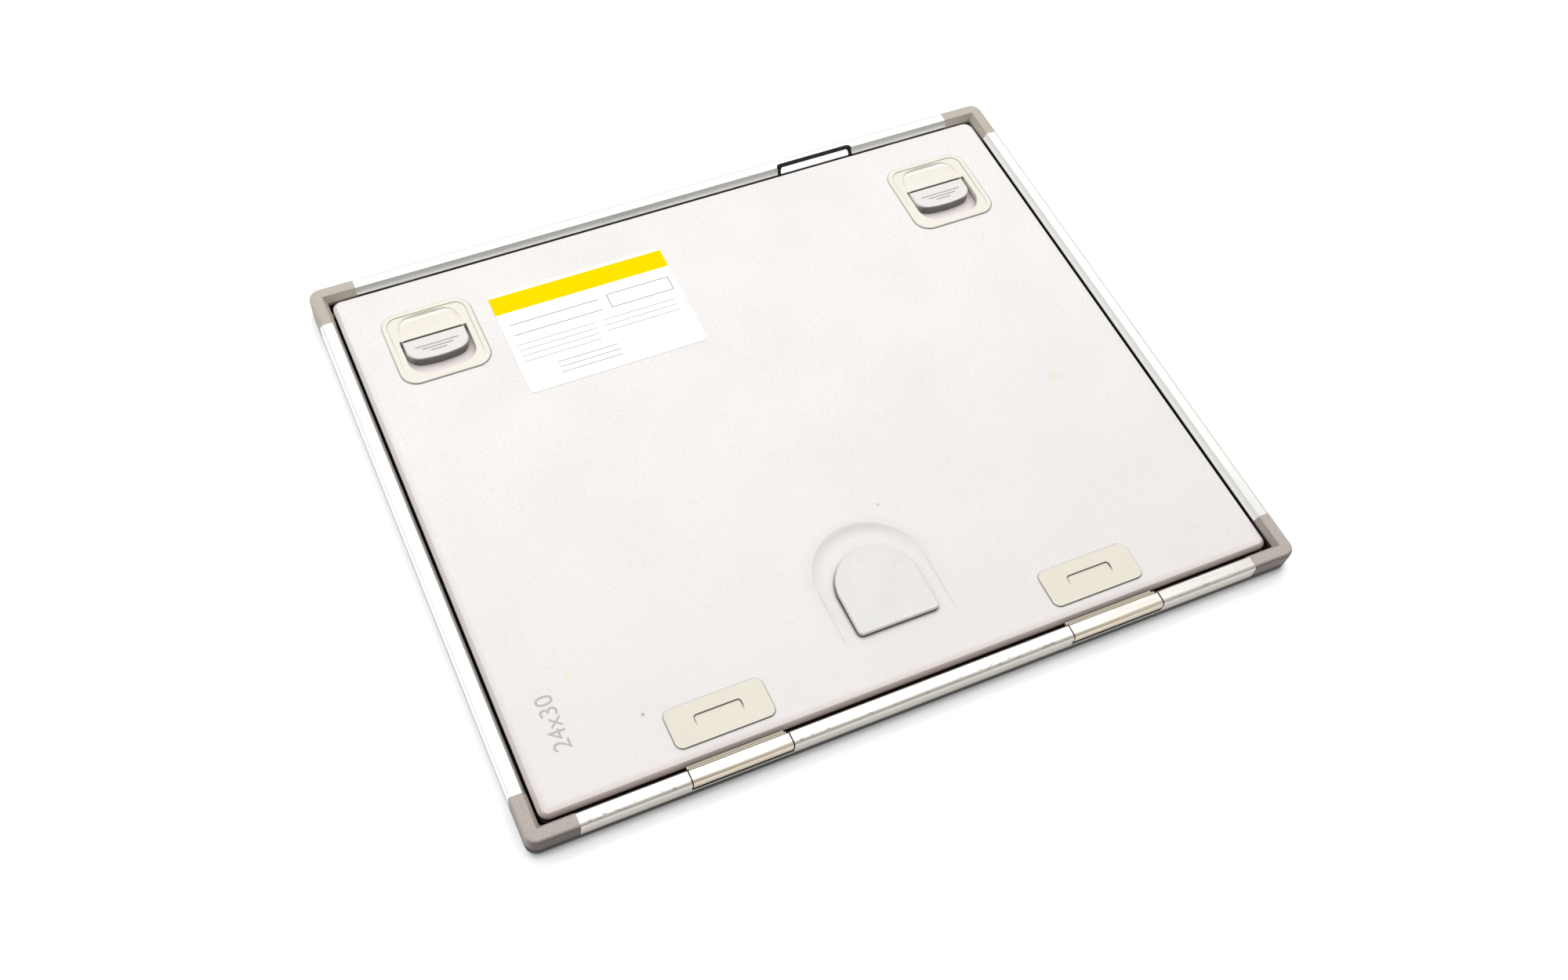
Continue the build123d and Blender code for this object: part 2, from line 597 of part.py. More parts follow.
def pan_screw(x, y, seat, tip):
    """Pan-head screw driven upwards: head below its seat, shank up to its tip."""
    head = screw_bar(SCREW_HEAD_RADIUS, x, y, seat - SCREW_HEAD_HEIGHT, seat)
    return head + screw_bar(SCREW_RADIUS, x, y, seat, tip)


def hinge_screws():
    """Screws of both hinges, up through the leaf into the plate's foot."""
    spots = [spot for side in SIDES.values() for spot in hinge_screw_spots(side * HINGE_OFFSET)]
    return group(pan_screw(x, y, ARM_BOTTOM, LID_TOP - SCREW_FIT) for x, y in spots)


# ---- lid ---------------------------------------------------------------------------------
def lid_holes():
    """Everything cut through the lid's top and skirt for the pieces it carries."""
    slot_half = BOLT_HALF_WIDTH + SKIRT_SLOT_MARGIN
    arm_half = ARM_LENGTH / 2 + KEY_FIT
    cuts = []
    for side in SIDES.values():
        latch_x, hinge_x = side * LATCH_OFFSET, side * HINGE_OFFSET
        room = slab(ROOM_LENGTH, ROOM_WIDTH, BODY_CORNER, LID_UNDER - 1, LID_TOP + 1)
        cuts.append(Pos(latch_x, LATCH_Y, 0) * room)
        low = (latch_x - slot_half, LID_HALF_WIDTH - LID_WALL - 1, SLIDER_BOTTOM - SKIRT_SLOT_MARGIN)
        cuts.append(block(low, (latch_x + slot_half, LID_HALF_WIDTH + 1, BOLT_TOP + SKIRT_SLOT_MARGIN)))
        low = (hinge_x - arm_half, -LID_HALF_WIDTH - 1, SKIRT_BOTTOM - 1)
        cuts.append(block(low, (hinge_x + arm_half, -LID_HALF_WIDTH + LID_WALL + 1, LID_UNDER)))
        cuts.append(key_block(hinge_x, KEY_FIT, LID_UNDER - 1, LID_TOP + 1))
    return cuts


def dish_tilt():
    """Fall of the dish floor, in degrees, from where it runs out to its far end."""
    return math.degrees(math.atan2(DISH_DEPTH, DISH_RUN + DISH_FLOOR_RADIUS))


def dish_profile():
    """Half section of the dish: floor, cove, brow, then upright, as distance out and height."""
    wall, rim = math.radians(DISH_WALL_ANGLE), math.radians(DISH_RIM_ANGLE)
    cove_end = Vector(
        DISH_FLOOR_RADIUS + DISH_COVE_RADIUS * math.sin(wall),
        DISH_COVE_RADIUS * (1 - math.cos(wall)),
    )
    brow_end = cove_end + Vector(
        DISH_BROW_RADIUS * (math.sin(wall) - math.sin(rim)),
        DISH_BROW_RADIUS * (math.cos(rim) - math.cos(wall)),
    )
    corner = brow_end + Vector(0, DISH_TOOL_RISE)
    cove = TangentArc((DISH_FLOOR_RADIUS, 0), cove_end, tangent=(1, 0))
    brow = TangentArc(cove_end, brow_end, tangent=(math.cos(wall), math.sin(wall)))
    floor = Line((0, 0), (DISH_FLOOR_RADIUS, 0))
    rest = Polyline(brow_end, corner, (0, corner.Y), (0, 0))
    return make_face(floor + cove + brow + rest)


def dish_form():
    """U-shaped form pressed into the lid: round at the far end, straight sides to the near end."""
    half = dish_profile()
    upright = Plane(origin=(0, 0, 0), x_dir=(1, 0, 0), z_dir=(0, -1, 0))
    sides = extrude(upright * half, DISH_RUN + DISH_FLOOR_RADIUS)
    sides += mirror(sides, about=Plane.YZ)
    form = sides + revolve(upright * half, Axis.Z, 180)
    place = Pos(0, DISH_NEAR_Y, LID_TOP) * Rot(-dish_tilt(), 0, 0)
    return place * Pos(0, DISH_RUN, 0) * form


def dish_backing(margin, thickness):
    """Extra thickness under the dish, of the same U shape."""
    radius = DISH_FLOOR_RADIUS + DISH_BACKING_MARGIN + margin
    plan = area((-radius, DISH_NEAR_Y - margin), (radius, DISH_ARC_Y))
    plan += Pos(0, DISH_ARC_Y) * Circle(radius)
    return prism(plan, LID_UNDER - thickness, LID_UNDER)


def lid_cover():
    """Lid shell: bevelled pan with its skirt, dish and holes."""
    length, width = 2 * LID_HALF_LENGTH, 2 * LID_HALF_WIDTH
    pan = slab(length, width, LID_CORNER, SKIRT_BOTTOM, LID_TOP)
    pan = chamfer(pan.faces().sort_by(Axis.Z)[-1].edges(), LID_BEVEL)
    inner_x, inner_y = LID_HALF_LENGTH - LID_WALL, LID_HALF_WIDTH - LID_WALL
    pan -= block((-inner_x, -inner_y, 0), (inner_x, inner_y, LID_UNDER))
    pan += dish_backing(0, DISH_BACKING)
    pan -= dish_form()
    for cut in lid_holes():
        pan -= cut
    return pan


def raised_pad(cover):
    """D-shaped pad, fixed on the floor of the dish."""
    radius = PAD_WIDTH / 2
    plan = area((-radius, PAD_NEAR_Y), (radius, PAD_ARC_Y))
    plan = fillet(plan.vertices().sort_by(Axis.Y)[:2], PAD_CORNER)
    plan += Pos(0, PAD_ARC_Y) * Circle(radius)
    pad = prism(plan, LID_UNDER, LID_TOP + PAD_HEIGHT)
    pad = chamfer(pad.faces().sort_by(Axis.Z)[-1].edges(), PAD_EDGE)
    return pad - cover


def blank_label():
    """Plain label on the lid."""
    top = LID_TOP + LABEL_THICKNESS
    return slab(LABEL_LENGTH, LABEL_WIDTH, LABEL_CORNER, LID_TOP, top, (LABEL_X, LABEL_Y))


# ---- under the lid -----------------------------------------------------------------------
def backscatter_foil():
    """Lead foil between the back screen and the foam."""
    top = FOIL_BOTTOM + FOIL_THICKNESS
    return sheet_inside_seal(SCREEN_GAP, SCREEN_CORNER, FOIL_BOTTOM, top)


def foam_pad():
    """Pressure foam, with pockets for the dish, hinge leaves, latch housings and screws."""
    pad = sheet_inside_seal(FOAM_GAP, SCREEN_CORNER, FOAM_BOTTOM, LID_UNDER)
    pad -= dish_backing(FOAM_FIT, DISH_BACKING + FOAM_FIT)
    head_room = SCREW_HEAD_HEIGHT + FOAM_FIT
    arm_half = ARM_LENGTH / 2 + FOAM_FIT
    arm_far = -HALF_WIDTH + PLATE_INSET + PLATE_WIDTH / 2 + FOAM_FIT
    case_x = ROOM_LENGTH / 2 + HOUSING_WALL + FOAM_FIT
    case_y = ROOM_WIDTH / 2 + HOUSING_WALL + FOAM_FIT
    duct_x = DUCT_HALF_WIDTH + HOUSING_WALL + FOAM_FIT
    case_bottom = HOUSING_BOTTOM - head_room
    above = LID_UNDER + 1
    for side in SIDES.values():
        x = side * HINGE_OFFSET
        pad -= block((x - arm_half, -HALF_WIDTH, ARM_BOTTOM - head_room), (x + arm_half, arm_far, above))
        x = side * LATCH_OFFSET
        low = (x - case_x, LATCH_Y - case_y, case_bottom)
        pad -= block(low, (x + case_x, LATCH_Y + case_y, above))
        pad -= block((x - duct_x, LATCH_Y, case_bottom), (x + duct_x, HALF_WIDTH, above))
    return pad


# ---- latches, drawn about the bezel's centre and then placed -----------------------------
def latch_screw_spots():
    """Screw centres of one latch, on a diagonal."""
    return [(side * BOSS_X, side * BOSS_Y) for side in SIDES.values()]


def scoop():
    """Finger scoop beyond the slider: the well's shape turned round, its floor falling away."""
    plan = d_plan(WELL_HALF_WIDTH, -SCOOP_FAR, 0, WELL_ARC_RADIUS, WELL_CORNER)
    form = prism(Rot(0, 0, 180) * plan, 0, 2 * SCOOP_DEPTH)
    form = chamfer(form.faces().sort_by(Axis.Z)[0].edges(), SCOOP_COVE, SCOOP_COVE_WIDTH)
    fall = math.degrees(math.atan2(SCOOP_DEPTH, SCOOP_FAR - WELL_FAR))
    return Pos(0, WELL_FAR, FIELD_TOP) * Rot(-fall, 0, 0) * Pos(0, -WELL_FAR, 0) * form


def latch_bezel():
    """Bezel: flange on the lid, body through it, D-shaped well, scoop and screw bosses."""
    flange = slab(BEZEL_LENGTH, BEZEL_WIDTH, BEZEL_CORNER, LID_TOP, BEZEL_TOP)
    flange = chamfer(flange.faces().sort_by(Axis.Z)[-1].edges(), BEZEL_EDGE)
    body = flange + slab(BODY_LENGTH, BODY_WIDTH, BODY_CORNER, BEZEL_BOTTOM, LID_TOP)
    rim = 2 * BEZEL_RIM
    field = (BEZEL_LENGTH - rim, BEZEL_WIDTH - rim, BEZEL_CORNER - BEZEL_RIM)
    body -= slab(*field, FIELD_TOP, BEZEL_TOP + 1)
    well = d_plan(WELL_HALF_WIDTH, WELL_NEAR, WELL_FAR, WELL_ARC_RADIUS, WELL_CORNER)
    body -= prism(well, BEZEL_BOTTOM - 1, BEZEL_TOP + 1)
    body -= scoop()
    hole_top = HOUSING_FLOOR_TOP + SCREW_GRIP
    for x, y in latch_screw_spots():
        low = (x - BOSS_HALF, y - BOSS_HALF, HOUSING_FLOOR_TOP)
        body += block(low, (x + BOSS_HALF, y + BOSS_HALF, BEZEL_BOTTOM))
        body -= screw_hole(x, y, HOUSING_BOTTOM, hole_top)
    return body


def latch_housing():
    """Housing under the lid: floor, walls, bolt duct and two spring posts."""
    case_x, case_y = ROOM_LENGTH / 2 + HOUSING_WALL, ROOM_WIDTH / 2 + HOUSING_WALL
    body = block((-case_x, -case_y, HOUSING_BOTTOM), (case_x, case_y, LID_UNDER))
    duct_side = DUCT_HALF_WIDTH + HOUSING_WALL
    body += block((-duct_side, 0, HOUSING_BOTTOM), (duct_side, DUCT_END, LID_UNDER))
    above = LID_UNDER + 1
    body -= slab(ROOM_LENGTH, ROOM_WIDTH, BODY_CORNER, HOUSING_FLOOR_TOP, above)
    body -= block((-DUCT_HALF_WIDTH, 0, HOUSING_FLOOR_TOP), (DUCT_HALF_WIDTH, DUCT_END + 1, above))
    half = SPRING_WINDOW_WIDTH / 2 - POST_SIDE_GAP
    for side in SIDES.values():
        x = side * SPRING_OFFSET
        low = (x - half, POST_NEAR, HOUSING_FLOOR_TOP)
        body += block(low, (x + half, POST_FAR, FLANGE_TOP - POST_DROP))
    for x, y in latch_screw_spots():
        body -= screw_hole(x, y, 0, above)
    return body


def latch_slider():
    """Slider: ribbed D-shaped button, and a flange under the bezel that drives the bolt."""
    plan = d_plan(SLIDER_HALF_WIDTH, SLIDER_NEAR, SLIDER_FAR, SLIDER_ARC_RADIUS, SLIDER_CORNER)
    button = prism(plan, SLIDER_BOTTOM, SLIDER_TOP)
    button = chamfer(button.faces().sort_by(Axis.Z)[-1].edges(), SLIDER_EDGE)
    for index, length in enumerate(RIB_LENGTHS):
        y = SLIDER_FAR - RIB_INSET - index * RIB_PITCH
        low = (-length / 2, y - RIB_WIDTH / 2, SLIDER_TOP)
        button += block(low, (length / 2, y + RIB_WIDTH / 2, SLIDER_TOP + RIB_HEIGHT))
    flange_near = (SLIDER_NEAR + SLIDER_FAR) / 2
    low = (-FLANGE_HALF_WIDTH, flange_near, SLIDER_BOTTOM)
    flange = block(low, (FLANGE_HALF_WIDTH, FLANGE_FAR, FLANGE_TOP))
    half, window_near = SPRING_WINDOW_WIDTH / 2, SPRING_FAR - SPRING_WINDOW_LENGTH
    for side in SIDES.values():
        x = side * SPRING_OFFSET
        low = (x - half, window_near, SLIDER_BOTTOM - 1)
        flange -= block(low, (x + half, SPRING_FAR, FLANGE_TOP + 1))
    half = BOLT_HALF_WIDTH + BOLT_FIT
    low = (-half, BOLT_NEAR - BOLT_FIT, SLIDER_BOTTOM - 1)
    flange -= block(low, (half, FLANGE_FAR + 1, BOLT_TOP + BOLT_FIT))
    return button + flange - bolt_pin(BOLT_FIT)


def bolt_pin(margin=0.0):
    """Pin through the slider's flange and the bolt."""
    y = (BOLT_NEAR + FLANGE_FAR) / 2
    return rod(BOLT_PIN_RADIUS + margin, (0, y, SLIDER_BOTTOM), (0, y, FLANGE_TOP))


def latch_bolt():
    """Flat steel bolt with its nose narrowed."""
    plan = area((-BOLT_HALF_WIDTH, BOLT_NEAR), (BOLT_HALF_WIDTH, BOLT_TIP))
    plan = chamfer(plan.vertices().sort_by(Axis.Y)[-2:], BOLT_NOSE)
    return prism(plan, SLIDER_BOTTOM, BOLT_TOP) - bolt_pin(BOLT_FIT)


def latch_spring():
    """Return spring from a housing post to the far end of a window: a coil of square wire."""
    start = POST_FAR + SPRING_FIT + SPRING_WIRE_RADIUS
    run = SPRING_FAR - SPRING_FIT - SPRING_WIRE_RADIUS - start
    height = (SLIDER_BOTTOM + FLANGE_TOP) / 2
    count = SPRING_TURNS * SPRING_STEPS
    points = []
    for step in range(count + 1):
        turn = 2 * math.pi * step / SPRING_STEPS
        x, z = SPRING_RADIUS * math.cos(turn), height + SPRING_RADIUS * math.sin(turn)
        points.append((x, start + run * step / count, z))
    path = Polyline(*points)
    section = Plane(origin=path @ 0, z_dir=path % 0) * RegularPolygon(SPRING_WIRE_RADIUS, 4)
    return sweep(section, path=path, transition=Transition.RIGHT)


def latch_springs():
    """The two springs of a latch."""
    coil = latch_spring()
    return group(Pos(side * SPRING_OFFSET, 0, 0) * coil for side in SIDES.values())


def latch_screws():
    """Screws of both latches, up through the housing floor into the bezel's bosses."""
    tip = HOUSING_FLOOR_TOP + SCREW_GRIP - SCREW_FIT
    return group(
        pan_screw(side * LATCH_OFFSET + x, LATCH_Y + y, HOUSING_BOTTOM, tip)
        for side in SIDES.values()
        for x, y in latch_screw_spots()
    )


# ---- the whole cassette ------------------------------------------------------------------
def sub_parts():
    """Every piece, by the name of its node."""
    cover = lid_cover()
    pieces = {
        "rail_near": rail_near(),
        "rail_far": rail_far(),
        "rail_left": Rot(0, 0, -90) * rail(HALF_LENGTH, HALF_WIDTH),
        "rail_right": Rot(0, 0, 90) * rail(HALF_LENGTH, HALF_WIDTH),
        **corner_caps(),
        "tube_panel": tube_panel(),
        "front_screen": screen(PANEL_TOP),
        "light_seal": light_seal(),
        "window_bezel": window_bezel(),
        "window_strip": window_strip(),
        "lid_cover": cover,
        "raised_pad": raised_pad(cover),
        "blank_label": blank_label(),
        "hinge_screws": hinge_screws(),
        "foam_pad": foam_pad(),
        "backscatter_foil": backscatter_foil(),
        "back_screen": screen(BACK_SCREEN_BOTTOM),
        "latch_screws": latch_screws(),
    }
    for name, side in SIDES.items():
        hinge_x = side * HINGE_OFFSET
        pieces[f"hinge_pin_{name}"] = hinge_pin(hinge_x)
        pieces[f"hinge_knuckle_{name}"] = knuckle_cover(hinge_x)
        pieces[f"hinge_arm_{name}"] = hinge_arm(hinge_x)
        pieces[f"hinge_plate_{name}"] = hinge_plate(hinge_x)
        latch = Pos(side * LATCH_OFFSET, LATCH_Y, 0)
        pieces[f"latch_bezel_{name}"] = latch * latch_bezel()
        pieces[f"latch_housing_{name}"] = latch * latch_housing()
        pieces[f"latch_slider_{name}"] = latch * latch_slider()
        pieces[f"latch_bolt_{name}"] = latch * latch_bolt()
        pieces[f"bolt_pin_{name}"] = latch * bolt_pin()
        pieces[f"latch_springs_{name}"] = latch * latch_springs()
    return pieces


def main():
    """Writes one STEP file for each node."""
    os.makedirs("parts", exist_ok=True)
    for name, shape in sub_parts().items():
        shape.label = name
        export_step(shape, f"parts/{name}.step")


main()
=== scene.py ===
import math

import bpy
import numpy as np
from mathutils import Matrix, Vector


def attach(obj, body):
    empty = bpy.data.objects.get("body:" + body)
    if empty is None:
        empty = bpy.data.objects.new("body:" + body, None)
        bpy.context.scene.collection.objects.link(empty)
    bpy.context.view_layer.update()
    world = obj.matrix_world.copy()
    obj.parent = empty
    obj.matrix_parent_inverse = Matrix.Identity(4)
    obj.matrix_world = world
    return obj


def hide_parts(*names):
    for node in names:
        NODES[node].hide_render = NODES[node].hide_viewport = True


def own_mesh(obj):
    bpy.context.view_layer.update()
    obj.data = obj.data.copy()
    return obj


# A hinged x-ray film cassette, latch side up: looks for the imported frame, the two foam pieces, the
# return springs, the label's print and the plain size numerals. Lengths are millimetres, but the
# camera, the floor and the lights are placed in metres.

MM = 0.001

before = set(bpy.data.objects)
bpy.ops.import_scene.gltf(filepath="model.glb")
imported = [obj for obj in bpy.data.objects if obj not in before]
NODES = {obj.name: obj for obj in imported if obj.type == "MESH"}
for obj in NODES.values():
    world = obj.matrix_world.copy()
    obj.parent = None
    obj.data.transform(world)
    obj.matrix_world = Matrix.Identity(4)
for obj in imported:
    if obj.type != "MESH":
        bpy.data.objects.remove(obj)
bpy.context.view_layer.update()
SIDES = {"left": -1, "right": 1}

# ---- where things are on the object ------------------------------------------------------
# A half is half a length along X and half a width along Y.
WALL_HALF = (156.5, 126.5)              # inner wall of the frame
SEAM_HEIGHT = 3.4                       # groove round the frame
FOOT_HEIGHT = 1.0                       # top of the shaded edge at the table
NEAR_EDGE = (-126.0, -131.0)            # Y, from the near rail's inner wall towards its outer face
FAR_EDGE = (110.0, 120.0)               # Y, short of the gap at the far rail
FAR_FADE = (60.0, 120.0)                # Y, where the gap beside the lid gets lighter
LID_HALF = (155.45, 125.45)
LID_CORNER = 4.0
LID_TOP = 10.5
LABEL_TOP = 10.65
LABEL_SPAN = (-93.0, -13.0)             # X, its two ends

HINGE_OFFSET = 80.0                     # each side of the middle
STRIP_SIDES = (-127.9, -126.85)         # Y, both sides of the plastic strip at a knuckle
KNUCKLE_EDGE = 8.6                      # top of the knuckle cover's shaded lower edge
PLATE_HALF = (20.0, 8.2)
PLATE_CORNER = 3.0
SLOT_HALF = (9.5, 2.6)                  # sunk slot in the hinge plate
SLOT_CORNER = 1.3

DISH_MIDDLE = (0.0, -101.3)
DISH_HALF = (28.0, 48.0)
DISH_CORNER = 27.9
DISH_SIDE = 23.5                        # X of the dish's straight sides
DISH_SIDE_RUN = (-106.0, -76.0)         # Y, their two ends
PAD_FOOT = 11.5                         # top of the shaded foot of the raised pad

LATCH_OFFSET = 120.5                    # each side of the middle
LATCH_HALF = (19.5, 19.0)
LATCH_CORNER = 7.0
RIM_HALF = (17.3, 16.8)                 # line inside the bezel's rim
RIM_CORNER = 4.8
SCOOP_MIDDLE = 4.2                      # scoop's middle, beyond the bezel's
SCOOP_HALF = (14.75, 12.0)
SCOOP_CORNER = 8.0
LONG_RIB_SIDE = 90.6                    # Y, the near side of the longest rib on a slider
RIB_FLANK = (10.66, 10.72)              # Z, on a rib's flank, above the slider's face
SPRING_OFFSET = 9.775                   # each side of a latch's middle
SPRING_HEIGHT = 7.3
SPRING_RUN = (97.5, 106.4)              # Y, from the post's tip to the end of the slider's window
SPRING_SEATS = (0.25, 0.15)             # middle of the wire to its seat, at the two ends
SPRING_RADIUS = 0.72
WIRE_RADIUS = 0.15
SPRING_TURNS = 7

NUMERAL_SIZE = 9.9                      # type size
NUMERAL_RUN = 23.4                      # length of the row
NUMERAL_START = (-134.8, -103.6)
INK_RISE = 0.02                         # print above the label

LATCH_SPOTS = [(side * LATCH_OFFSET, 90.3) for side in SIDES.values()]
PLATE_SPOTS = [(side * HINGE_OFFSET, -111.0) for side in SIDES.values()]

# ---- directions that faces look in -------------------------------------------------------
UP = (0, 0, 1)
DOWN = (0, 0, -1)
NEAR = (0, -1, 0)
LEFT = (-1, 0, 0)
FAR_RIGHT = (0.7, 0.7, 0)
NEAR_LEFT = (-0.5, -0.85, 0)


# ---- materials ---------------------------------------------------------------------------
def shade(red, green, blue):
    """A display colour, 0 to 255, as the linear colour that shaders take."""
    levels = [value / 255 for value in (red, green, blue)]
    return [(v / 12.92 if v <= 0.04045 else ((v + 0.055) / 1.055) ** 2.4) for v in levels] + [1.0]


class Finish:
    """One surface finish: a Principled shader fed by textures in object coordinates, in mm.

    Its colours are display colours, 0 to 255. Its masks are sockets that carry 0 to 1.
    """

    def __init__(self, name, colour, roughness, metallic=0.0):
        self.material = bpy.data.materials.new(name)
        self.material.use_nodes = True
        self.tree = self.material.node_tree
        self.shader = self.tree.nodes["Principled BSDF"]
        self.colour = shade(*colour)
        self.material.diffuse_color = self.colour
        values = {"Base Color": self.colour, "Roughness": roughness, "Metallic": metallic}
        self.feed(self.shader, values)
        spot = self.tree.nodes.new("ShaderNodeTexCoord").outputs["Object"]
        self.spot = self.vector("SCALE", spot, Scale=1 / MM)

    def feed(self, node, values):
        """Puts constants in a node's sockets, and links the rest."""
        for name, value in values.items():
            if isinstance(value, bpy.types.NodeSocket):
                self.tree.links.new(value, node.inputs[name])
            else:
                node.inputs[name].default_value = value

    def node(self, kind, output, values, **settings):
        """Adds a node and gives one of its outputs."""
        made = self.tree.nodes.new(kind)
        for name, value in settings.items():
            setattr(made, name, value)
        self.feed(made, values)
        return made.outputs[output]

    def vector(self, operation, first, second=None, **values):
        """A vector sum, product and so on."""
        values[0] = first
        if second is not None:
            values[1] = second
        output = "Value" if operation in ("LENGTH", "DOT_PRODUCT") else "Vector"
        return self.node("ShaderNodeVectorMath", output, values, operation=operation)

    def number(self, operation, first, second=0.0):
        """A sum, product and so on of two numbers."""
        return self.node("ShaderNodeMath", 0, {0: first, 1: second}, operation=operation)

    def axis(self, name):
        """The X, Y or Z coordinate, in mm."""
        return self.node("ShaderNodeSeparateXYZ", name, {"Vector": self.spot})

    def remap(self, value, low, high, start=0.0, end=1.0):
        """Start at low, end at high, straight between and level outside."""
        values = {"Value": value, "From Min": low, "From Max": high, "To Min": start, "To Max": end}
        return self.node("ShaderNodeMapRange", "Result", values)

    def ramp(self, name, low, high, start=0.0, end=1.0):
        """The same, along the X, Y or Z axis."""
        return self.remap(self.axis(name), low, high, start, end)

    def noise(self, size, detail=2.0, stretch=(1, 1, 1), turn=0.0, shift=0.0):
        """Cloudy noise with features of a size in mm, drawn out along an axis by its stretch."""
        scale = [1 / (size * s) for s in stretch]
        values = {"Vector": self.spot, "Rotation": (0, 0, turn), "Location": (shift, shift, 0)}
        place = self.node("ShaderNodeMapping", 0, values)
        place = self.vector("MULTIPLY", place, scale)
        return self.node("ShaderNodeTexNoise", 0, {"Vector": place, "Scale": 1.0, "Detail": detail})

    def paint(self, mask, colour, strength=1.0):
        """Mixes a colour in where a mask says."""
        if strength != 1.0:
            mask = self.number("MULTIPLY", mask, strength)
        values = {0: mask, 6: self.colour, 7: shade(*colour)}
        self.colour = self.node("ShaderNodeMix", 2, values, data_type="RGBA")
        self.feed(self.shader, {"Base Color": self.colour})

    def bump(self, height, depth):
        """Raises the surface by a height from 0 to 1, times a depth in mm."""
        values = {"Height": height, "Distance": depth * MM, "Strength": 1.0}
        links = self.shader.inputs["Normal"].links
        if links:
            values["Normal"] = links[0].from_socket
        self.feed(self.shader, {"Normal": self.node("ShaderNodeBump", 0, values)})

    def grain(self, size, depth, detail=2.0):
        """Moulded or sprayed texture."""
        self.bump(self.noise(size, detail), depth)

    def rough(self, mask, low, high):
        """Roughness that goes from low to high with a mask."""
        self.feed(self.shader, {"Roughness": self.remap(mask, 0, 1, low, high)})

    def both(self, *masks):
        """Mask where all the given masks meet."""
        product = masks[0]
        for mask in masks[1:]:
            product = self.number("MULTIPLY", product, mask)
        return product

    def band(self, value, middle, half, soft=0.1):
        """Mask for a band round a value, in mm."""
        distance = self.number("ABSOLUTE", self.number("SUBTRACT", value, middle))
        return self.remap(distance, half - soft, half + soft, 1.0, 0.0)

    def under(self, height):
        """Mask for what is lower than a height."""
        return self.ramp("Z", height, height - 0.3)

    def facing(self, direction, low, high):
        """Mask for faces that look a way, in the object's own frame."""
        normal = self.node("ShaderNodeTexCoord", "Normal", {})
        return self.remap(self.vector("DOT_PRODUCT", normal, direction), low, high)

    def dot(self, centre, radius, soft=0.4):
        """Mask for a round spot."""
        flat = self.vector("MULTIPLY", self.spot, (1, 1, 0))
        distance = self.vector("LENGTH", self.vector("SUBTRACT", flat, (*centre, 0)))
        return self.remap(distance, radius - soft, radius + soft, 1.0, 0.0)

    def away(self, centre, half, corner):
        """Distance in mm outside a rounded rectangle seen from above, negative inside it."""
        flat = self.vector("MULTIPLY", self.spot, (1, 1, 0))
        flat = self.vector("ABSOLUTE", self.vector("SUBTRACT", flat, (*centre, 0)))
        flat = self.vector("SUBTRACT", flat, (half[0] - corner, half[1] - corner, 0))
        outside = self.vector("LENGTH", self.vector("MAXIMUM", flat, (0, 0, 0)))
        x, y = (self.node("ShaderNodeSeparateXYZ", name, {"Vector": flat}) for name in "XY")
        inside = self.number("MINIMUM", self.number("MAXIMUM", x, y), 0.0)
        return self.number("SUBTRACT", self.number("ADD", outside, inside), corner)

    def line_round(self, centre, half, corner, width):
        """Mask for a soft line round a rounded rectangle, where a line of shade is painted."""
        distance = self.number("ABSOLUTE", self.away(centre, half, corner))
        return self.remap(distance, 0.0, width, 1.0, 0.0)

    def outline(self, centre, half, corner, colour):
        """Painted shade: a dark line round a fitting, strong on its near and right sides and faint on
        the others.
        """
        x = self.number("SUBTRACT", self.axis("X"), centre[0])
        y = self.number("SUBTRACT", self.axis("Y"), centre[1])
        across = self.number("SUBTRACT", self.number("MULTIPLY", x, 0.5), y)
        strength = self.remap(across, -16.0, 8.0, 0.35, 1.0)
        self.paint(self.both(self.line_round(centre, half, corner, 0.6), strength), colour, 0.95)

    def scratches(self, turn, length, threshold, shift):
        """Mask for fine scattered scratches at an angle."""
        lines = self.noise(0.35, 1.0, (length, 1, 1), turn, shift)
        return self.remap(lines, threshold, threshold + 0.02)

    def uneven(self, colour, strength):
        """Broad faint clouds of another tone."""
        self.paint(self.remap(self.noise(14.0, 3.0), 0.35, 0.8), colour, strength)

    def crevice(self, reach, low=0.3, high=0.85):
        """Mask for corners and gaps narrower than a reach in mm, where shade is painted."""
        values = {"Distance": reach * MM}
        share = self.node("ShaderNodeAmbientOcclusion", "AO", values, samples=8)
        return self.remap(share, low, high, 1.0, 0.0)

    def gap(self, reach, shares, fade, far_strength):
        """Mask for the gap round the lid, weaker along a fade in Y, where more light gets in."""
        return self.both(self.crevice(reach, *shares), self.ramp("Y", *fade, 1.0, far_strength))

    def seam(self):
        """Painted shade in the groove round the frame, as a dark line."""
        self.paint(self.band(self.axis("Z"), SEAM_HEIGHT + 0.25, 0.6, 0.25), (20, 16, 14))

    def inner_wall(self):
        """Painted shade on the upright inner wall of the frame, but for its lit upper part at the far
        rail.
        """
        wall = self.remap(self.away((0, 0), WALL_HALF, 0.5), 0.3, 0.05)
        lit = self.both(self.ramp("Y", *FAR_EDGE), self.ramp("Z", 7.2, 7.7))
        self.paint(self.both(wall, self.number("SUBTRACT", 1.0, lit)), (30, 26, 24), 0.9)


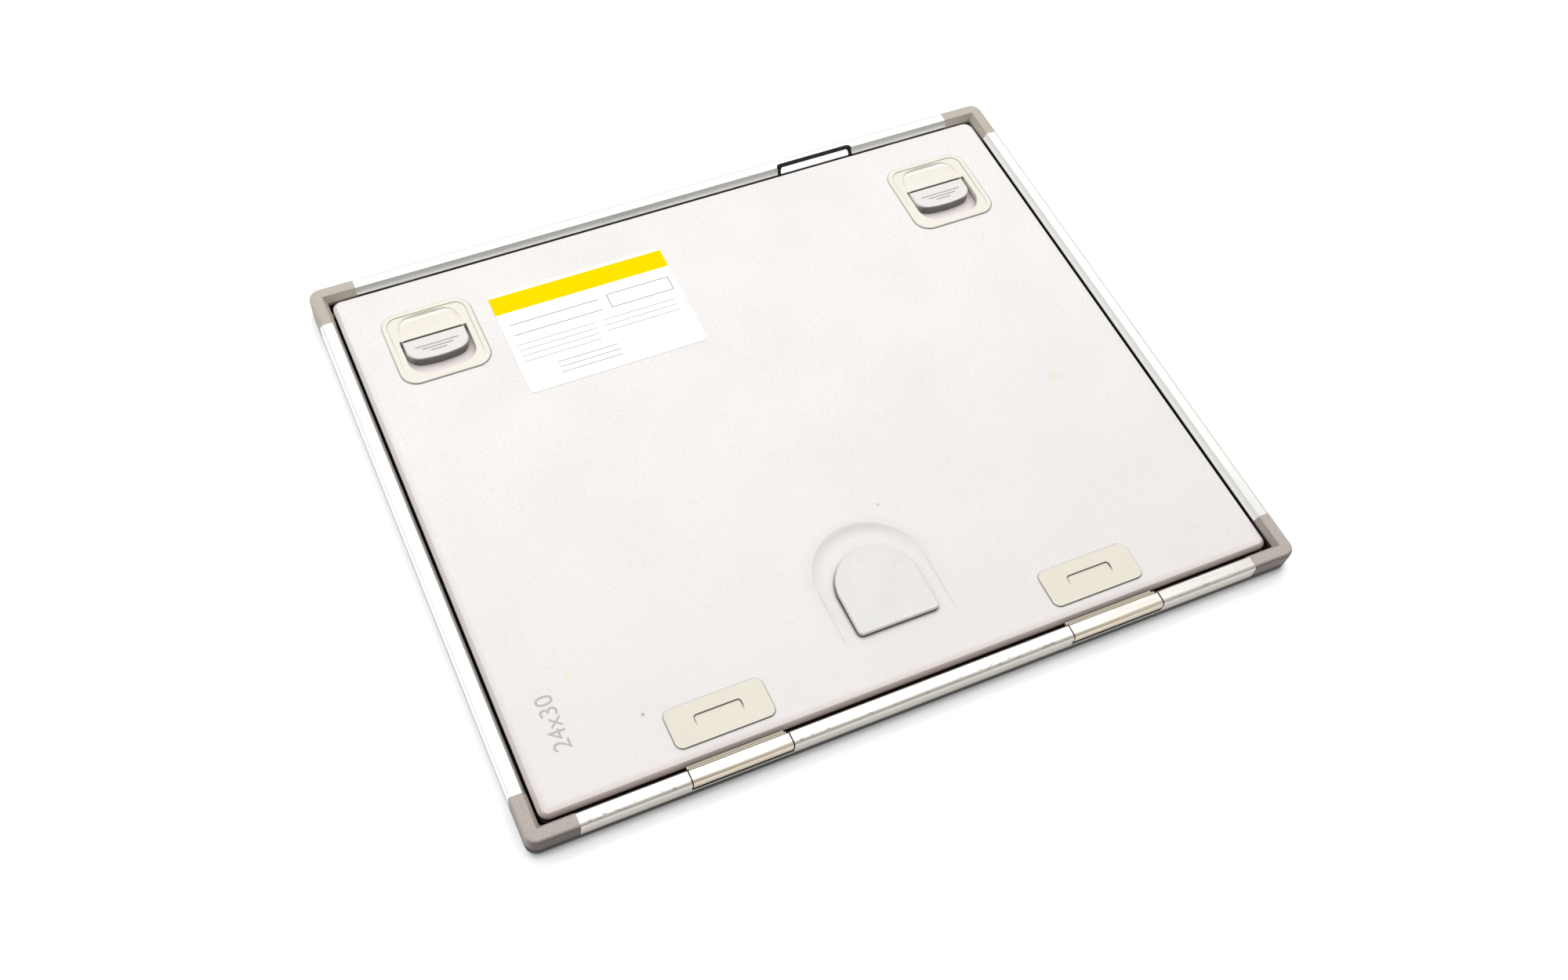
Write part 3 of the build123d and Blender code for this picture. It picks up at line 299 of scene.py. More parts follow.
def drawn_metal(name, colour, along, side, roughness=(0.26, 0.42)):
    """Satin metal with drawing lines along one axis, faint stains and scuffs, and painted shade in the
    side colour on its near side.
    """
    finish = Finish(name, colour, roughness[0], metallic=1.0)
    fine, coarse = ([length if axis == along else 1.0 for axis in "XYZ"] for length in (160.0, 9.0))
    lines = finish.noise(0.16, 3.0, fine)
    finish.rough(lines, *roughness)
    stains = finish.remap(finish.noise(3.0, 3.0, coarse), 0.5, 0.75)
    finish.paint(stains, (160, 156, 148), 0.25)
    scuffs = finish.remap(finish.noise(0.8, 3.0, coarse, shift=37.0), 0.7, 0.74)
    finish.paint(scuffs, (92, 80, 70), 0.6)
    # painted shade: the near part darker, with faint streaks on it
    near = finish.ramp("Y", -100.0, -126.0)
    finish.paint(near, (198, 188, 182), 0.55)
    streaks = finish.remap(finish.noise(2.2, 4.0, coarse, shift=11.0), 0.5, 0.68)
    finish.paint(finish.both(near, streaks), (158, 150, 142), 0.5)
    # painted shade in the side colour, on the shoulder towards the near side and on faces that look
    # near
    finish.paint(finish.ramp("Y", -130.6, -132.8), side, 0.6)
    finish.paint(finish.both(near, finish.facing(NEAR, 0.2, 0.8)), side, 0.85)
    # painted shade in the gap beside the lid
    finish.paint(finish.gap(1.3, (0.2, 0.66), FAR_EDGE, 0.3), (34, 28, 24), 0.85)
    finish.bump(lines, 0.006)
    return finish


def rail_metal(name, along):
    """Rail: painted shade on the inner wall, the lower near side, the foot and in the notches under the
    knuckles; a darker band below the seam; a painted reflection on faces that look left.
    """
    finish = drawn_metal(name, (220, 220, 214), along, (206, 199, 190))
    # painted reflection: faces that look left lighter
    finish.paint(finish.facing(LEFT, 0.3, 0.7), (246, 247, 243), 0.9)
    # painted shade on the lower part of the near side
    low_side = finish.both(finish.ramp("Z", 6.2, 4.4), finish.facing(NEAR, 0.8, 0.95))
    finish.paint(low_side, (104, 98, 86), 0.8)
    top_edge = finish.both(finish.band(finish.axis("Y"), -132.1, 0.6, 0.4), finish.facing(UP, 0.4, 0.7))
    rubs = finish.remap(finish.noise(0.9, 3.0, (3, 1, 1), shift=71.0), 0.6, 0.66)
    finish.paint(finish.both(top_edge, rubs), (112, 88, 78), 0.7)
    # darker below the seam all round; painted shade there on the near side and at the foot
    upright = finish.both(finish.facing(UP, 0.3, 0.1), finish.facing(DOWN, 0.95, 0.8))
    near = finish.ramp("Y", *NEAR_EDGE)
    below_seam = finish.both(finish.under(SEAM_HEIGHT), upright)
    finish.paint(below_seam, (126, 120, 106), 0.8)
    finish.paint(finish.both(below_seam, near), (70, 66, 54), 0.9)
    finish.paint(finish.both(finish.under(FOOT_HEIGHT), upright, near), (20, 19, 16), 0.9)
    finish.inner_wall()
    # painted shade in the notches under the knuckles
    notch = finish.both(
        finish.band(finish.number("ABSOLUTE", finish.axis("X")), HINGE_OFFSET, 20.5),
        finish.ramp("Y", -126.8, -126.4, 1.0, 0.0),
        finish.ramp("Z", 5.8, 6.0),
    )
    finish.paint(notch, (16, 13, 10), 0.98)
    finish.seam()
    return finish.material


def knuckle_metal():
    """Knuckle cover: warm metal with a tan painted shade on its near side and painted shade along its
    lower edge.
    """
    finish = drawn_metal("knuckle_metal", (220, 217, 209), "X", (216, 203, 180), (0.24, 0.38))
    finish.paint(finish.under(KNUCKLE_EDGE), (16, 12, 8), 0.98)
    return finish.material


def moulded(name, colour, roughness=0.5, grain=0.45, depth=0.02, crevice_shade=0.8):
    """Moulded plastic: fine texture, slightly uneven tone, painted shade in crevices."""
    finish = Finish(name, colour, roughness)
    finish.uneven([value * 0.86 for value in colour], 0.25)
    # painted shade in crevices
    finish.paint(finish.crevice(1.2), (50, 42, 34), crevice_shade)
    finish.grain(grain, depth)
    return finish


def arm_plastic():
    """Beige hinge arm, with a line of painted shade on each side of the strip beside the metal cover.
    """
    finish = moulded("arm_plastic", (192, 185, 162), 0.5, 0.6)
    for side in STRIP_SIDES:
        finish.paint(finish.band(finish.axis("Y"), side, 0.26, 0.14), (74, 66, 40), 0.95)
    return finish.material


def pad_plastic():
    """Pale pad with a brownish painted shade on its sides, a black line of painted shade at its foot
    and painted shade in its crevices.
    """
    finish = moulded("pad_plastic", (220, 217, 214), 0.45, 0.9, 0.05)
    finish.paint(finish.remap(finish.noise(0.8, 2.0), 0.45, 0.7), (196, 186, 180), 0.3)
    # painted shade on the sides and at the near and left foot
    finish.paint(finish.facing(UP, 0.8, 0.4), (172, 156, 148), 0.8)
    foot = finish.both(finish.under(PAD_FOOT), finish.facing(NEAR_LEFT, 0.0, 0.3))
    finish.paint(foot, (26, 22, 20), 0.95)
    finish.paint(finish.crevice(1.0, 0.2, 0.6), (70, 62, 58), 0.7)
    return finish.material


def bezel_plastic():
    """Cream latch bezel: painted shade on its near faces, in a line inside its rim, on the scoop's sunk
    floor and in its crevices, and in the cove at the scoop's far end painted shade above a painted
    highlight.
    """
    finish = Finish("trim_plastic", (226, 220, 208), 0.42)
    finish.uneven((216, 209, 194), 0.3)
    # painted shade on faces that look near
    finish.paint(finish.facing(NEAR, 0.75, 0.95), (140, 128, 110), 0.9)
    far_part = finish.ramp("Y", 74.0, 96.0)
    sunk = finish.ramp("Z", 10.6, 10.3)
    cove = finish.facing(NEAR, 0.2, 0.45)
    for spot in LATCH_SPOTS:
        # painted shade on a line inside the rim's far part, the scoop's sunk floor and the cove's wall;
        # a painted highlight at the cove's foot
        line = finish.line_round(spot, RIM_HALF, RIM_CORNER, 0.34)
        finish.paint(finish.both(line, far_part), (168, 156, 136), 0.6)
        inset = finish.away((spot[0], spot[1] + SCOOP_MIDDLE), SCOOP_HALF, SCOOP_CORNER)
        finish.paint(finish.both(finish.remap(inset, 0.0, -0.3), sunk), (218, 213, 196), 0.4)
        finish.paint(finish.both(cove, finish.band(inset, -0.35, 0.55, 0.3)), (188, 181, 164), 0.8)
        finish.paint(finish.both(cove, finish.band(inset, -1.6, 0.5, 0.25)), (255, 255, 255))
    # painted shade in crevices
    finish.paint(finish.crevice(1.0, 0.2, 0.6), (44, 38, 28), 0.85)
    finish.grain(0.8, 0.015)
    return finish.material


def slider_plastic():
    """Pale grey slider with painted shade on its ribs, the longest darkest, on its near wall and in its
    crevices.
    """
    finish = Finish("slider_plastic", (221, 215, 212), 0.5)
    # painted shade on the near wall, on the ribs' flanks and more on the longest rib
    finish.paint(finish.facing(NEAR, 0.3, 0.8), (84, 80, 70), 0.9)
    ribs = finish.ramp("Z", *RIB_FLANK)
    finish.paint(ribs, (198, 188, 184), 0.8)
    longest = finish.ramp("Y", LONG_RIB_SIDE - 0.2, LONG_RIB_SIDE)
    finish.paint(finish.both(ribs, longest), (140, 130, 124), 0.9)
    finish.paint(finish.crevice(1.0, 0.2, 0.6), (44, 40, 32), 0.85)
    finish.grain(0.5, 0.03)
    return finish.material


def cap_plastic():
    """Grey-brown corner plastic: coarse speckle, painted shade on its sides and near side, darker below
    the frame's seam, and painted shade at its foot, on its inner wall, in the gap and in the seam.
    """
    finish = Finish("cap_plastic", (178, 168, 161), 0.6)
    finish.paint(finish.remap(finish.noise(0.42, 3.0), 0.4, 0.64), (142, 130, 122), 0.5)
    finish.paint(finish.remap(finish.noise(0.5, 2.0, shift=19.0), 0.56, 0.7), (212, 202, 194), 0.3)
    # painted shade on the sides
    finish.paint(finish.facing(UP, 0.75, 0.2), (134, 124, 116), 0.85)
    # the far caps a little lighter and yellower
    finish.paint(finish.ramp("Y", 60.0, 130.0), (186, 179, 160), 0.5)
    # painted shade on the near sides, more on the right
    near_side = finish.both(finish.ramp("Y", 0.0, -60.0), finish.facing(NEAR, 0.3, 0.85))
    finish.paint(near_side, (80, 69, 67), 0.9)
    finish.paint(finish.both(finish.ramp("X", 0.0, 140.0), near_side), (112, 100, 96), 0.7)
    # darker below the seam; painted shade on the lower near side and at the foot
    below_seam = finish.under(SEAM_HEIGHT)
    near = finish.ramp("Y", *NEAR_EDGE)
    finish.paint(below_seam, (96, 90, 80), 0.8)
    finish.paint(finish.both(finish.ramp("Z", 6.8, 5.2), near), (66, 58, 52), 0.85)
    finish.paint(finish.both(below_seam, near), (84, 81, 74), 0.9)
    finish.paint(finish.both(finish.under(FOOT_HEIGHT), near), (16, 15, 12), 0.9)
    # painted shade on the inner wall, in the gap and in the seam
    finish.inner_wall()
    finish.paint(finish.gap(1.2, (0.2, 0.66), FAR_FADE, 0.5), (40, 34, 30), 0.85)
    finish.seam()
    finish.grain(0.5, 0.09)
    return finish.material


def plate_plastic():
    """Beige hinge plate with painted shade on its near faces and a dark line of painted shade on the
    far side of its sunk slot.
    """
    finish = Finish("plate_plastic", (218, 212, 196), 0.5)
    finish.uneven((206, 199, 182), 0.3)
    finish.paint(finish.facing(NEAR, 0.7, 0.95), (120, 110, 92), 0.9)
    far_side = finish.ramp("Y", -112.8, -110.6)
    for spot in PLATE_SPOTS:
        line = finish.line_round(spot, SLOT_HALF, SLOT_CORNER, 0.42)
        finish.paint(finish.both(line, far_side), (40, 32, 22), 0.95)
    finish.grain(0.7, 0.025)
    return finish.material


def lid_edges(finish):
    """Painted light and shade round the lid's border, its slopes and its skirt."""
    edge = finish.away((0, 0), LID_HALF, LID_CORNER)
    # painted shade: darker towards the near side, and along the border, less on the right and far sides
    finish.paint(finish.ramp("Y", 40.0, -130.0), (214, 208, 206), 0.55)
    border_shade = finish.both(
        finish.ramp("X", 100.0, 150.0, 1.0, 0.2),
        finish.ramp("Y", 40.0, 110.0, 1.0, 0.1),
    )
    finish.paint(finish.both(finish.remap(edge, -4.2, -0.8), border_shade), (200, 184, 176), 0.5)
    # painted highlight on the slopes that face far and right
    finish.paint(finish.facing(FAR_RIGHT, 0.15, 0.4), (252, 248, 246), 0.9)
    # painted shade along the near border, on the near slope, darker towards its foot, and on the skirt
    near = finish.ramp("Y", -112.0, -124.0)
    finish.paint(finish.both(near, finish.remap(edge, -4.4, -1.2)), (196, 178, 170), 0.6)
    slope = finish.facing(NEAR, 0.1, 0.7)
    finish.paint(slope, (188, 174, 168), 0.8)
    finish.paint(finish.both(slope, finish.remap(edge, -1.5, -0.1)), (104, 88, 81), 0.85)
    finish.paint(finish.facing(UP, 0.5, 0.2), (60, 52, 48), 0.85)


def lid_dish(finish):
    """Painted soft shade on the dish's wall, and thin lines of painted shade where its straight sides
    meet the lid.
    """
    ring = finish.band(finish.away(DISH_MIDDLE, DISH_HALF, DISH_CORNER), -3.6, 2.8, 2.8)
    finish.paint(finish.both(ring, finish.ramp("Y", -104.0, -74.0)), (208, 202, 200), 0.4)
    start, end = DISH_SIDE_RUN
    sides = finish.both(
        finish.band(finish.number("ABSOLUTE", finish.axis("X")), DISH_SIDE, 0.3, 0.3),
        finish.ramp("Y", start, start + 5.0),
        finish.ramp("Y", end - 6.0, end, 1.0, 0.0),
    )
    finish.paint(sides, (190, 184, 182), 0.6)


def lid_wear(finish):
    """A few spots and scratches on the lid."""
    spots = [
        ((116.8, -20.9), 2.4, (222, 214, 196)),
        ((-124.4, 11.3), 1.2, (225, 217, 198)),
        ((-125.8, -75.9), 1.2, (225, 217, 198)),
        ((-106.3, -100.9), 0.6, (168, 120, 96)),
        ((16.6, -51.0), 0.5, (206, 132, 104)),
    ]
    for centre, radius, colour in spots:
        finish.paint(finish.dot(centre, radius), colour, 0.8)
    for turn, shift in ((0.5, 3.0), (-0.9, 51.0), (1.7, 90.0)):
        finish.paint(finish.scratches(turn, 26.0, 0.735, shift), (186, 176, 170), 0.4)


def lid_paint():
    """Warm off-white lid: orange peel, painted shade round its fittings and in the gap round it,
    painted light and shade along its edges, and a few spots and scratches.
    """
    finish = Finish("lid_shell", (229, 225, 222), 0.45)
    finish.paint(finish.remap(finish.noise(38.0, 3.0), 0.4, 0.75), (221, 214, 209), 0.5)
    finish.paint(finish.remap(finish.noise(1.3, 2.0), 0.42, 0.68), (208, 201, 197), 0.28)
    lid_edges(finish)
    lid_dish(finish)
    # painted shade round the latch bezels and the hinge plates
    for spot in LATCH_SPOTS:
        finish.outline(spot, LATCH_HALF, LATCH_CORNER, (46, 34, 20))
    for spot in PLATE_SPOTS:
        finish.outline(spot, PLATE_HALF, PLATE_CORNER, (24, 16, 8))
    # painted shade in the gap round the lid
    finish.paint(finish.gap(1.6, (0.3, 0.85), FAR_FADE, 0.5), (40, 32, 28), 0.95)
    lid_wear(finish)
    finish.grain(0.9, 0.035)
    finish.grain(0.3, 0.008, detail=1.0)
    return finish.material


def foam(name, colour, cell):
    """Foam with open cells."""
    finish = Finish(name, colour, 0.95)
    cells = finish.noise(cell, 3.0)
    finish.paint(finish.remap(cells, 0.35, 0.65), [value * 0.5 for value in colour], 0.6)
    finish.bump(cells, 0.25)
    return finish.material


def plain(name, colour, roughness, metallic=0.0):
    """A plain finish with a trace of unevenness."""
    finish = Finish(name, colour, roughness, metallic)
    finish.rough(finish.noise(3.0, 3.0), roughness * 0.85, min(1.0, roughness * 1.15))
    return finish.material


def flat_ink(name, colour, specular=0.1, glow=0.0):
    """Printed ink or dull plastic with hardly any sheen, or one that glows a little."""
    finish = Finish(name, colour, 0.7)
    values = {"Specular IOR Level": specular, "Emission Strength": glow}
    values["Emission Color"] = shade(*colour)
    finish.feed(finish.shader, values)
    return finish.material


RAIL = {"X": rail_metal("rail_metal_long", "X"), "Y": rail_metal("rail_metal_short", "Y")}
KNUCKLE = knuckle_metal()
CAP = cap_plastic()
LID = lid_paint()
ARM = arm_plastic()
BEZEL = bezel_plastic()
PLATE = plate_plastic()
HOUSING = moulded("housing_plastic", (236, 228, 226), 0.5, 0.5, 0.03, 0.4).material
SLIDER = slider_plastic()
PAD = pad_plastic()
# the white window strip glows a little: painted light
WINDOW_WHITE = flat_ink("window_white", (252, 251, 250), 0.2, 0.3)
WINDOW_BLACK = flat_ink("window_black", (24, 23, 21), 0.15)
LABEL = plain("label_film", (246, 245, 243), 0.38)
PANEL = moulded("panel_sheet", (206, 202, 196), 0.4, 0.9, 0.02).material
SCREEN = plain("screen_coat", (226, 226, 218), 0.55)
LEAD = plain("lead_sheet", (132, 134, 138), 0.55, 1.0)
STEEL = plain("steel", (176, 176, 178), 0.32, 1.0)
BLACK_FOAM = foam("black_foam", (30, 30, 31), 0.5)
GREY_FOAM = foam("grey_foam", (92, 92, 96), 0.8)
YELLOW = flat_ink("label_yellow", (240, 210, 2), 0.0)
RULE_INK = flat_ink("label_rule_ink", (112, 112, 116))
NUMERAL_INK = plain("numeral_ink", (176, 174, 172), 0.5)

# In both tables a key is the start of a node's name. The soft edges are widths in millimetres.
FINISHES = {
    "rail_near": RAIL["X"],
    "rail_far": RAIL["X"],
    "rail_left": RAIL["Y"],
    "rail_right": RAIL["Y"],
    "corner_cap": CAP,
    "tube_panel": PANEL,
    "front_screen": SCREEN,
    "back_screen": SCREEN,
    "light_seal": BLACK_FOAM,
    "foam_pad": GREY_FOAM,
    "backscatter_foil": LEAD,
    "window_bezel": WINDOW_BLACK,
    "window_strip": WINDOW_WHITE,
    "hinge_pin": STEEL,
    "hinge_screws": STEEL,
    "latch_screws": STEEL,
    "latch_bolt": STEEL,
    "bolt_pin": STEEL,
    "latch_springs": STEEL,
    "lid_cover": LID,
    "raised_pad": PAD,
    "blank_label": LABEL,
    "hinge_knuckle": KNUCKLE,
    "hinge_arm": ARM,
    "hinge_plate": PLATE,
    "latch_bezel": BEZEL,
    "latch_housing": HOUSING,
    "latch_slider": SLIDER,
}
SOFT_EDGES = {
    "corner_cap": 0.25,
    "latch_bezel": 0.16,
    "latch_slider": 0.16,
    "raised_pad": 0.3,
    "hinge_plate": 0.16,
    "hinge_arm": 0.14,
    "hinge_knuckle": 0.1,
    "window_bezel": 0.12,
    "window_strip": 0.1,
    "lid_cover": 0.6,
}


def pick(table, name):
    """The entry whose key starts a node's name, or None."""
    found = [value for key, value in table.items() if name.startswith(key)]
    return found[0] if found else None


def soften(node, width):
    """Rounds a node's sharp edges a little, by modifiers."""
    weld = node.modifiers.new("weld", "WELD")
    weld.merge_threshold = 0.001 * MM
    edge = node.modifiers.new("edge", "BEVEL")
    edge.width = width * MM
    edge.segments = 2
    edge.limit_method = "ANGLE"
    edge.angle_limit = math.radians(28)
    edge.harden_normals = True


def dress():
    """Gives every CAD node its finish and its soft edges."""
    for name, node in NODES.items():
        node.data.materials.clear()
        node.data.materials.append(pick(FINISHES, name))
        width = pick(SOFT_EDGES, name)
        if width:
            soften(node, width)


# ---- new pieces --------------------------------------------------------------------------
def piece(name, points, faces, material, body, sharp=40.0):
    """A mesh from points in mm and faces, riding on a body."""
    mesh = bpy.data.meshes.new(name)
    mesh.from_pydata((np.asarray(points, float) * MM).tolist(), [], faces)
    mesh.shade_smooth()
    mesh.set_sharp_from_angle(angle=math.radians(sharp))
    mesh.materials.append(material)
    made = bpy.data.objects.new(name, mesh)
    bpy.context.scene.collection.objects.link(made)
    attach(made, body)
    return made


def grid_faces(rows, columns, closed_rows=False, closed_columns=False, start=0, flip=False):
    """Quads over a grid of points stored row by row."""
    row = np.arange(rows if closed_rows else rows - 1)[:, None]
    column = np.arange(columns if closed_columns else columns - 1)[None, :]
    next_row, next_column = (row + 1) % rows, (column + 1) % columns
    corners = [(row, column), (row, next_column), (next_row, next_column), (next_row, column)]
    quads = start + np.stack([i * columns + j for i, j in corners], -1).reshape(-1, 4)
    return (quads[:, ::-1] if flip else quads).tolist()


def grid_rim(rows, columns):
    """Indices once round the edge of a grid of points, from its first point down the rows."""
    index = np.arange(rows * columns).reshape(rows, columns)
    return np.concatenate([index[:, 0], index[-1, 1:], index[-2::-1, -1], index[0, -2:0:-1]])


def rounded_loop(half, radius, corner_steps, side_steps):
    """Points and outward directions round a rounded rectangle, counter-clockwise.

    A corner is its centre plus the radius times a cosine and a sine. The side after it goes on
    in even steps, square to the corner's last direction. The corner's steps are an even number.
    """
    points, directions = [], []
    along_side = (np.arange(1, side_steps) / side_steps)[:, None]
    for quarter in range(4):
        turns = np.radians(90 * quarter + np.linspace(0, 90, corner_steps + 1))
        arc = np.stack([np.cos(turns), np.sin(turns)], -1)
        corner = np.sign(arc[corner_steps // 2]) * (np.array(half) - radius) + radius * arc
        run = 2 * (half[quarter % 2] - radius) * np.array([-arc[-1, 1], arc[-1, 0]])
        points += [corner, corner[-1] + run * along_side]
        directions += [arc, np.repeat(arc[-1:], side_steps - 1, axis=0)]
    return np.concatenate(points), np.concatenate(directions)


def light_seal():
    """Black foam strip: a D section carried round the tray's inner edge.

    A point is the path's point plus its outward direction times a cosine of half the strip's
    width, at a height that is the flank's height plus a sine of the crown's height.
    """
    path_half, path_corner = (153.4, 123.4), 4.0
    half_width, flank, crown, base = 2.95, 0.9, 1.55, 2.07
    path, outward = rounded_loop(path_half, path_corner, corner_steps=10, side_steps=40)
    turns = np.linspace(0, math.pi, 13)
    across = np.concatenate([[half_width], half_width * np.cos(turns), [-half_width]])
    height = np.concatenate([[base], base + flank + crown * np.sin(turns), [base]])
    plan = path[:, None] + outward[:, None] * across[:, None]
    level = np.broadcast_to(height[:, None], (*plan.shape[:2], 1))
    points = np.concatenate([plan, level], -1).reshape(-1, 3)
    faces = grid_faces(len(path), len(across), closed_rows=True, closed_columns=True, flip=True)
    seal = piece("light_seal_strip", points, faces, BLACK_FOAM, "tray")
    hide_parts("light_seal")


def foam_pockets():
    """Pockets in the pressure foam: low and high X, low and high Y, and the height of the bed."""
    beyond = 200.0
    dish = (-22.3, 22.3, -105.2, -59.0, 7.75)
    hinge_leaf = (HINGE_OFFSET, 19.7, -beyond, -102.6, 6.4)
    housing = (LATCH_OFFSET, 19.75, 71.0, 109.6, 4.35)
    bolt_duct = (LATCH_OFFSET, 8.2, 90.0, beyond, 4.35)
    pockets = [dish]
    for side in SIDES.values():
        for offset, half, *rest in (hinge_leaf, housing, bolt_duct):
            pockets.append((side * offset - half, side * offset + half, *rest))
    return pockets


def foam_lines(half, cuts):
    """Grid lines from -half to half: even steps, and a close pair at each pocket's edge."""
    step, clear, pair = 6.0, 0.6, 0.03
    lines = set(np.round(np.linspace(-half, half, int(2 * half / step) + 1), 4))
    for cut in cuts:
        lines = {line for line in lines if abs(line - cut) > clear or abs(line) == half}
    for cut in cuts:
        lines |= {round(cut - pair, 4), round(cut + pair, 4)}
    return np.array(sorted(line for line in lines if -half <= line <= half))


def round_corners(x, y, half, radius):
    """Draws a grid's points near a rectangle's corners in, so that its outline turns on arcs."""
    over_x = np.maximum(np.abs(x) - (half[0] - radius), 0)
    over_y = np.maximum(np.abs(y) - (half[1] - radius), 0)
    length = np.maximum(np.hypot(over_x, over_y), 1e-9)
    pull = np.where((over_x > 0) & (over_y > 0), np.maximum(over_x, over_y) / length, 1.0)
    x = np.sign(x) * (np.minimum(np.abs(x), half[0] - radius) + over_x * pull)
    y = np.sign(y) * (np.minimum(np.abs(y), half[1] - radius) + over_y * pull)
    return x, y


def foam_flank(low_edge, high_edge, half, radius, bulge):
    """Rings between the two outlines of the foam, pushed out by a sine of the share of height."""
    beside = [np.abs(value) > limit - radius for value, limit in zip(low_edge.T, half)]
    outward = np.stack([np.where(b, np.sign(v), 0) for b, v in zip(beside, low_edge.T)], -1)
    outward /= np.maximum(np.linalg.norm(outward, axis=1, keepdims=True), 1)
    share = np.array([0.2, 0.4, 0.6, 0.8])[:, None, None]
    rings = low_edge + (high_edge - low_edge) * share
    rings[..., :2] += outward * bulge * np.sin(math.pi * share)
    return rings


def pressure_foam():
    """Pressure foam under the lid, with pockets for what stands down from the lid.

    The upper face is a height over X and Y: level, and lower inside each pocket. The lower face
    is level. The flank joins the two outlines, and stands out between them.
    """
    half, radius, bottom, top, bulge = (149.3, 119.3), 3.0, 3.48, 8.95, 0.5
    pockets = foam_pockets()
    xs = foam_lines(half[0], [x for pocket in pockets for x in pocket[:2]])
    ys = foam_lines(half[1], [y for pocket in pockets for y in pocket[2:4] if abs(y) < half[1]])
    x, y = np.meshgrid(xs, ys, indexing="ij")
    height = np.full(x.shape, top)
    for low_x, high_x, low_y, high_y, bed in pockets:
        inside = (x > low_x) & (x < high_x) & (y > low_y) & (y < high_y)
        height[inside] = np.minimum(height[inside], bed)
    x, y = round_corners(x, y, half, radius)
    (rows, columns), count = x.shape, x.size
    upper = np.stack([x, y, height], -1).reshape(-1, 3)
    lower = np.stack([x, y, np.full(x.shape, bottom)], -1).reshape(-1, 3)
    rim = grid_rim(rows, columns)
    rings = foam_flank(lower[rim], upper[rim], half, radius, bulge)
    faces = grid_faces(rows, columns, flip=True) + grid_faces(rows, columns, start=count)
    loops = [count + rim, *(2 * count + np.arange(rings[..., 0].size).reshape(len(rings), -1)), rim]
    for below, above in zip(loops, loops[1:]):
        faces += np.stack([below, np.roll(below, -1), np.roll(above, -1), above], -1).tolist()
    points = np.concatenate([upper, lower, rings.reshape(-1, 3)])
    pad = piece("pressure_foam", points, faces, GREY_FOAM, "lid", 50.0)
    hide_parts("foam_pad")


def coil(centre, run, radius, wire, turns):
    """Points and faces of a round-wire spring along Y.

    The middle line is a helix: a radius times a cosine and a sine of the turn, and Y even along
    the run. A ring's point is the middle line plus the wire's radius times a cosine along the
    outward direction and a sine along the direction across both the wire and that one.
    """
    turn = np.linspace(0, 2 * math.pi * turns, 20 * turns + 1)[:, None]
    around = np.linspace(0, 2 * math.pi, 8, endpoint=False)[None, :]
    outward = np.stack([np.cos(turn), 0 * turn, np.sin(turn)], -1)
    pitch = (run[1] - run[0]) / (2 * math.pi * turns)
    along = np.stack([-radius * np.sin(turn), pitch + 0 * turn, radius * np.cos(turn)], -1)
    along /= np.linalg.norm(along, axis=-1, keepdims=True)
    across = np.cross(along, outward)
    middle = radius * outward + np.stack([0 * turn, run[0] + pitch * turn, 0 * turn], -1)
    ring = np.cos(around)[..., None] * outward + np.sin(around)[..., None] * across
    points = (middle + wire * ring + [centre[0], 0, centre[1]]).reshape(-1, 3)
    rows, columns = len(turn), around.shape[1]
    faces = grid_faces(rows, columns, closed_columns=True)
    faces += [list(range(columns))[::-1], list(range((rows - 1) * columns, rows * columns))]
    return points, faces


def return_springs(side):
    """Both springs of a latch, from the posts at rest on the lid to the slider, which squeezes them."""
    start, end = SPRING_RUN
    run = (start + SPRING_SEATS[0], end - SPRING_SEATS[1])
    points, faces = [], []
    for offset in (-SPRING_OFFSET, SPRING_OFFSET):
        centre = (SIDES[side] * LATCH_OFFSET + offset, SPRING_HEIGHT)
        more, loops = coil(centre, run, SPRING_RADIUS, WIRE_RADIUS, SPRING_TURNS)
        faces += [[len(points) + index for index in loop] for loop in loops]
        points += more.tolist()
    springs = piece(f"return_springs_{side}", points, faces, STEEL, "lid")
    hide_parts(f"latch_springs_{side}")
    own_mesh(springs)


def bars(name, boxes, material):
    """Thin printed bars on the label, each a closed box between two corners in plan."""
    points, faces = [], []
    for low_x, low_y, high_x, high_y in boxes:
        base = len(points)
        plan = [(low_x, low_y), (high_x, low_y), (high_x, high_y), (low_x, high_y)]
        points += [(x, y, z) for z in (LABEL_TOP, LABEL_TOP + INK_RISE) for x, y in plan]
        sides = [(0, 3, 2, 1), (4, 5, 6, 7), (0, 1, 5, 4), (1, 2, 6, 5), (2, 3, 7, 6), (3, 0, 4, 7)]
        faces += [[base + index for index in face] for face in sides]
    piece(name, points, faces, material, "lid", 30.0)


def ruled(left, right, width, heights):
    """Boxes of thin rules, one above each height."""
    return [(left, y, right, y + width) for y in heights]


def label_print():
    """Plain print on the label: a yellow band, an empty box and thin ruled lines."""
    left, right = LABEL_SPAN
    margin = 0.05
    bars("label_band", [(left + margin, 93.4, right - margin, 102.9)], YELLOW)
    fine, low_x, low_y, high_x, high_y = 0.3, -44.7, 80.4, -15.8, 87.8
    rules = [
        (low_x, low_y, high_x, low_y + fine),
        (low_x, high_y - fine, high_x, high_y),
        (low_x, low_y + fine, low_x + fine, high_y - fine),
        (high_x - fine, low_y + fine, high_x, high_y - fine),
    ]
    rules += ruled(-89.0, -49.0, 0.3, (86.4, 80.6))
    rules += ruled(-90.0, -55.0, 0.2, (75.2, 72.2, 69.2, 66.2))
    rules += ruled(-51.0, -18.0, 0.2, (75.2, 72.2, 69.2))
    rules += ruled(-77.0, -50.0, 0.25, (61.2, 58.4, 55.6))
    bars("label_rules", rules, RULE_INK)


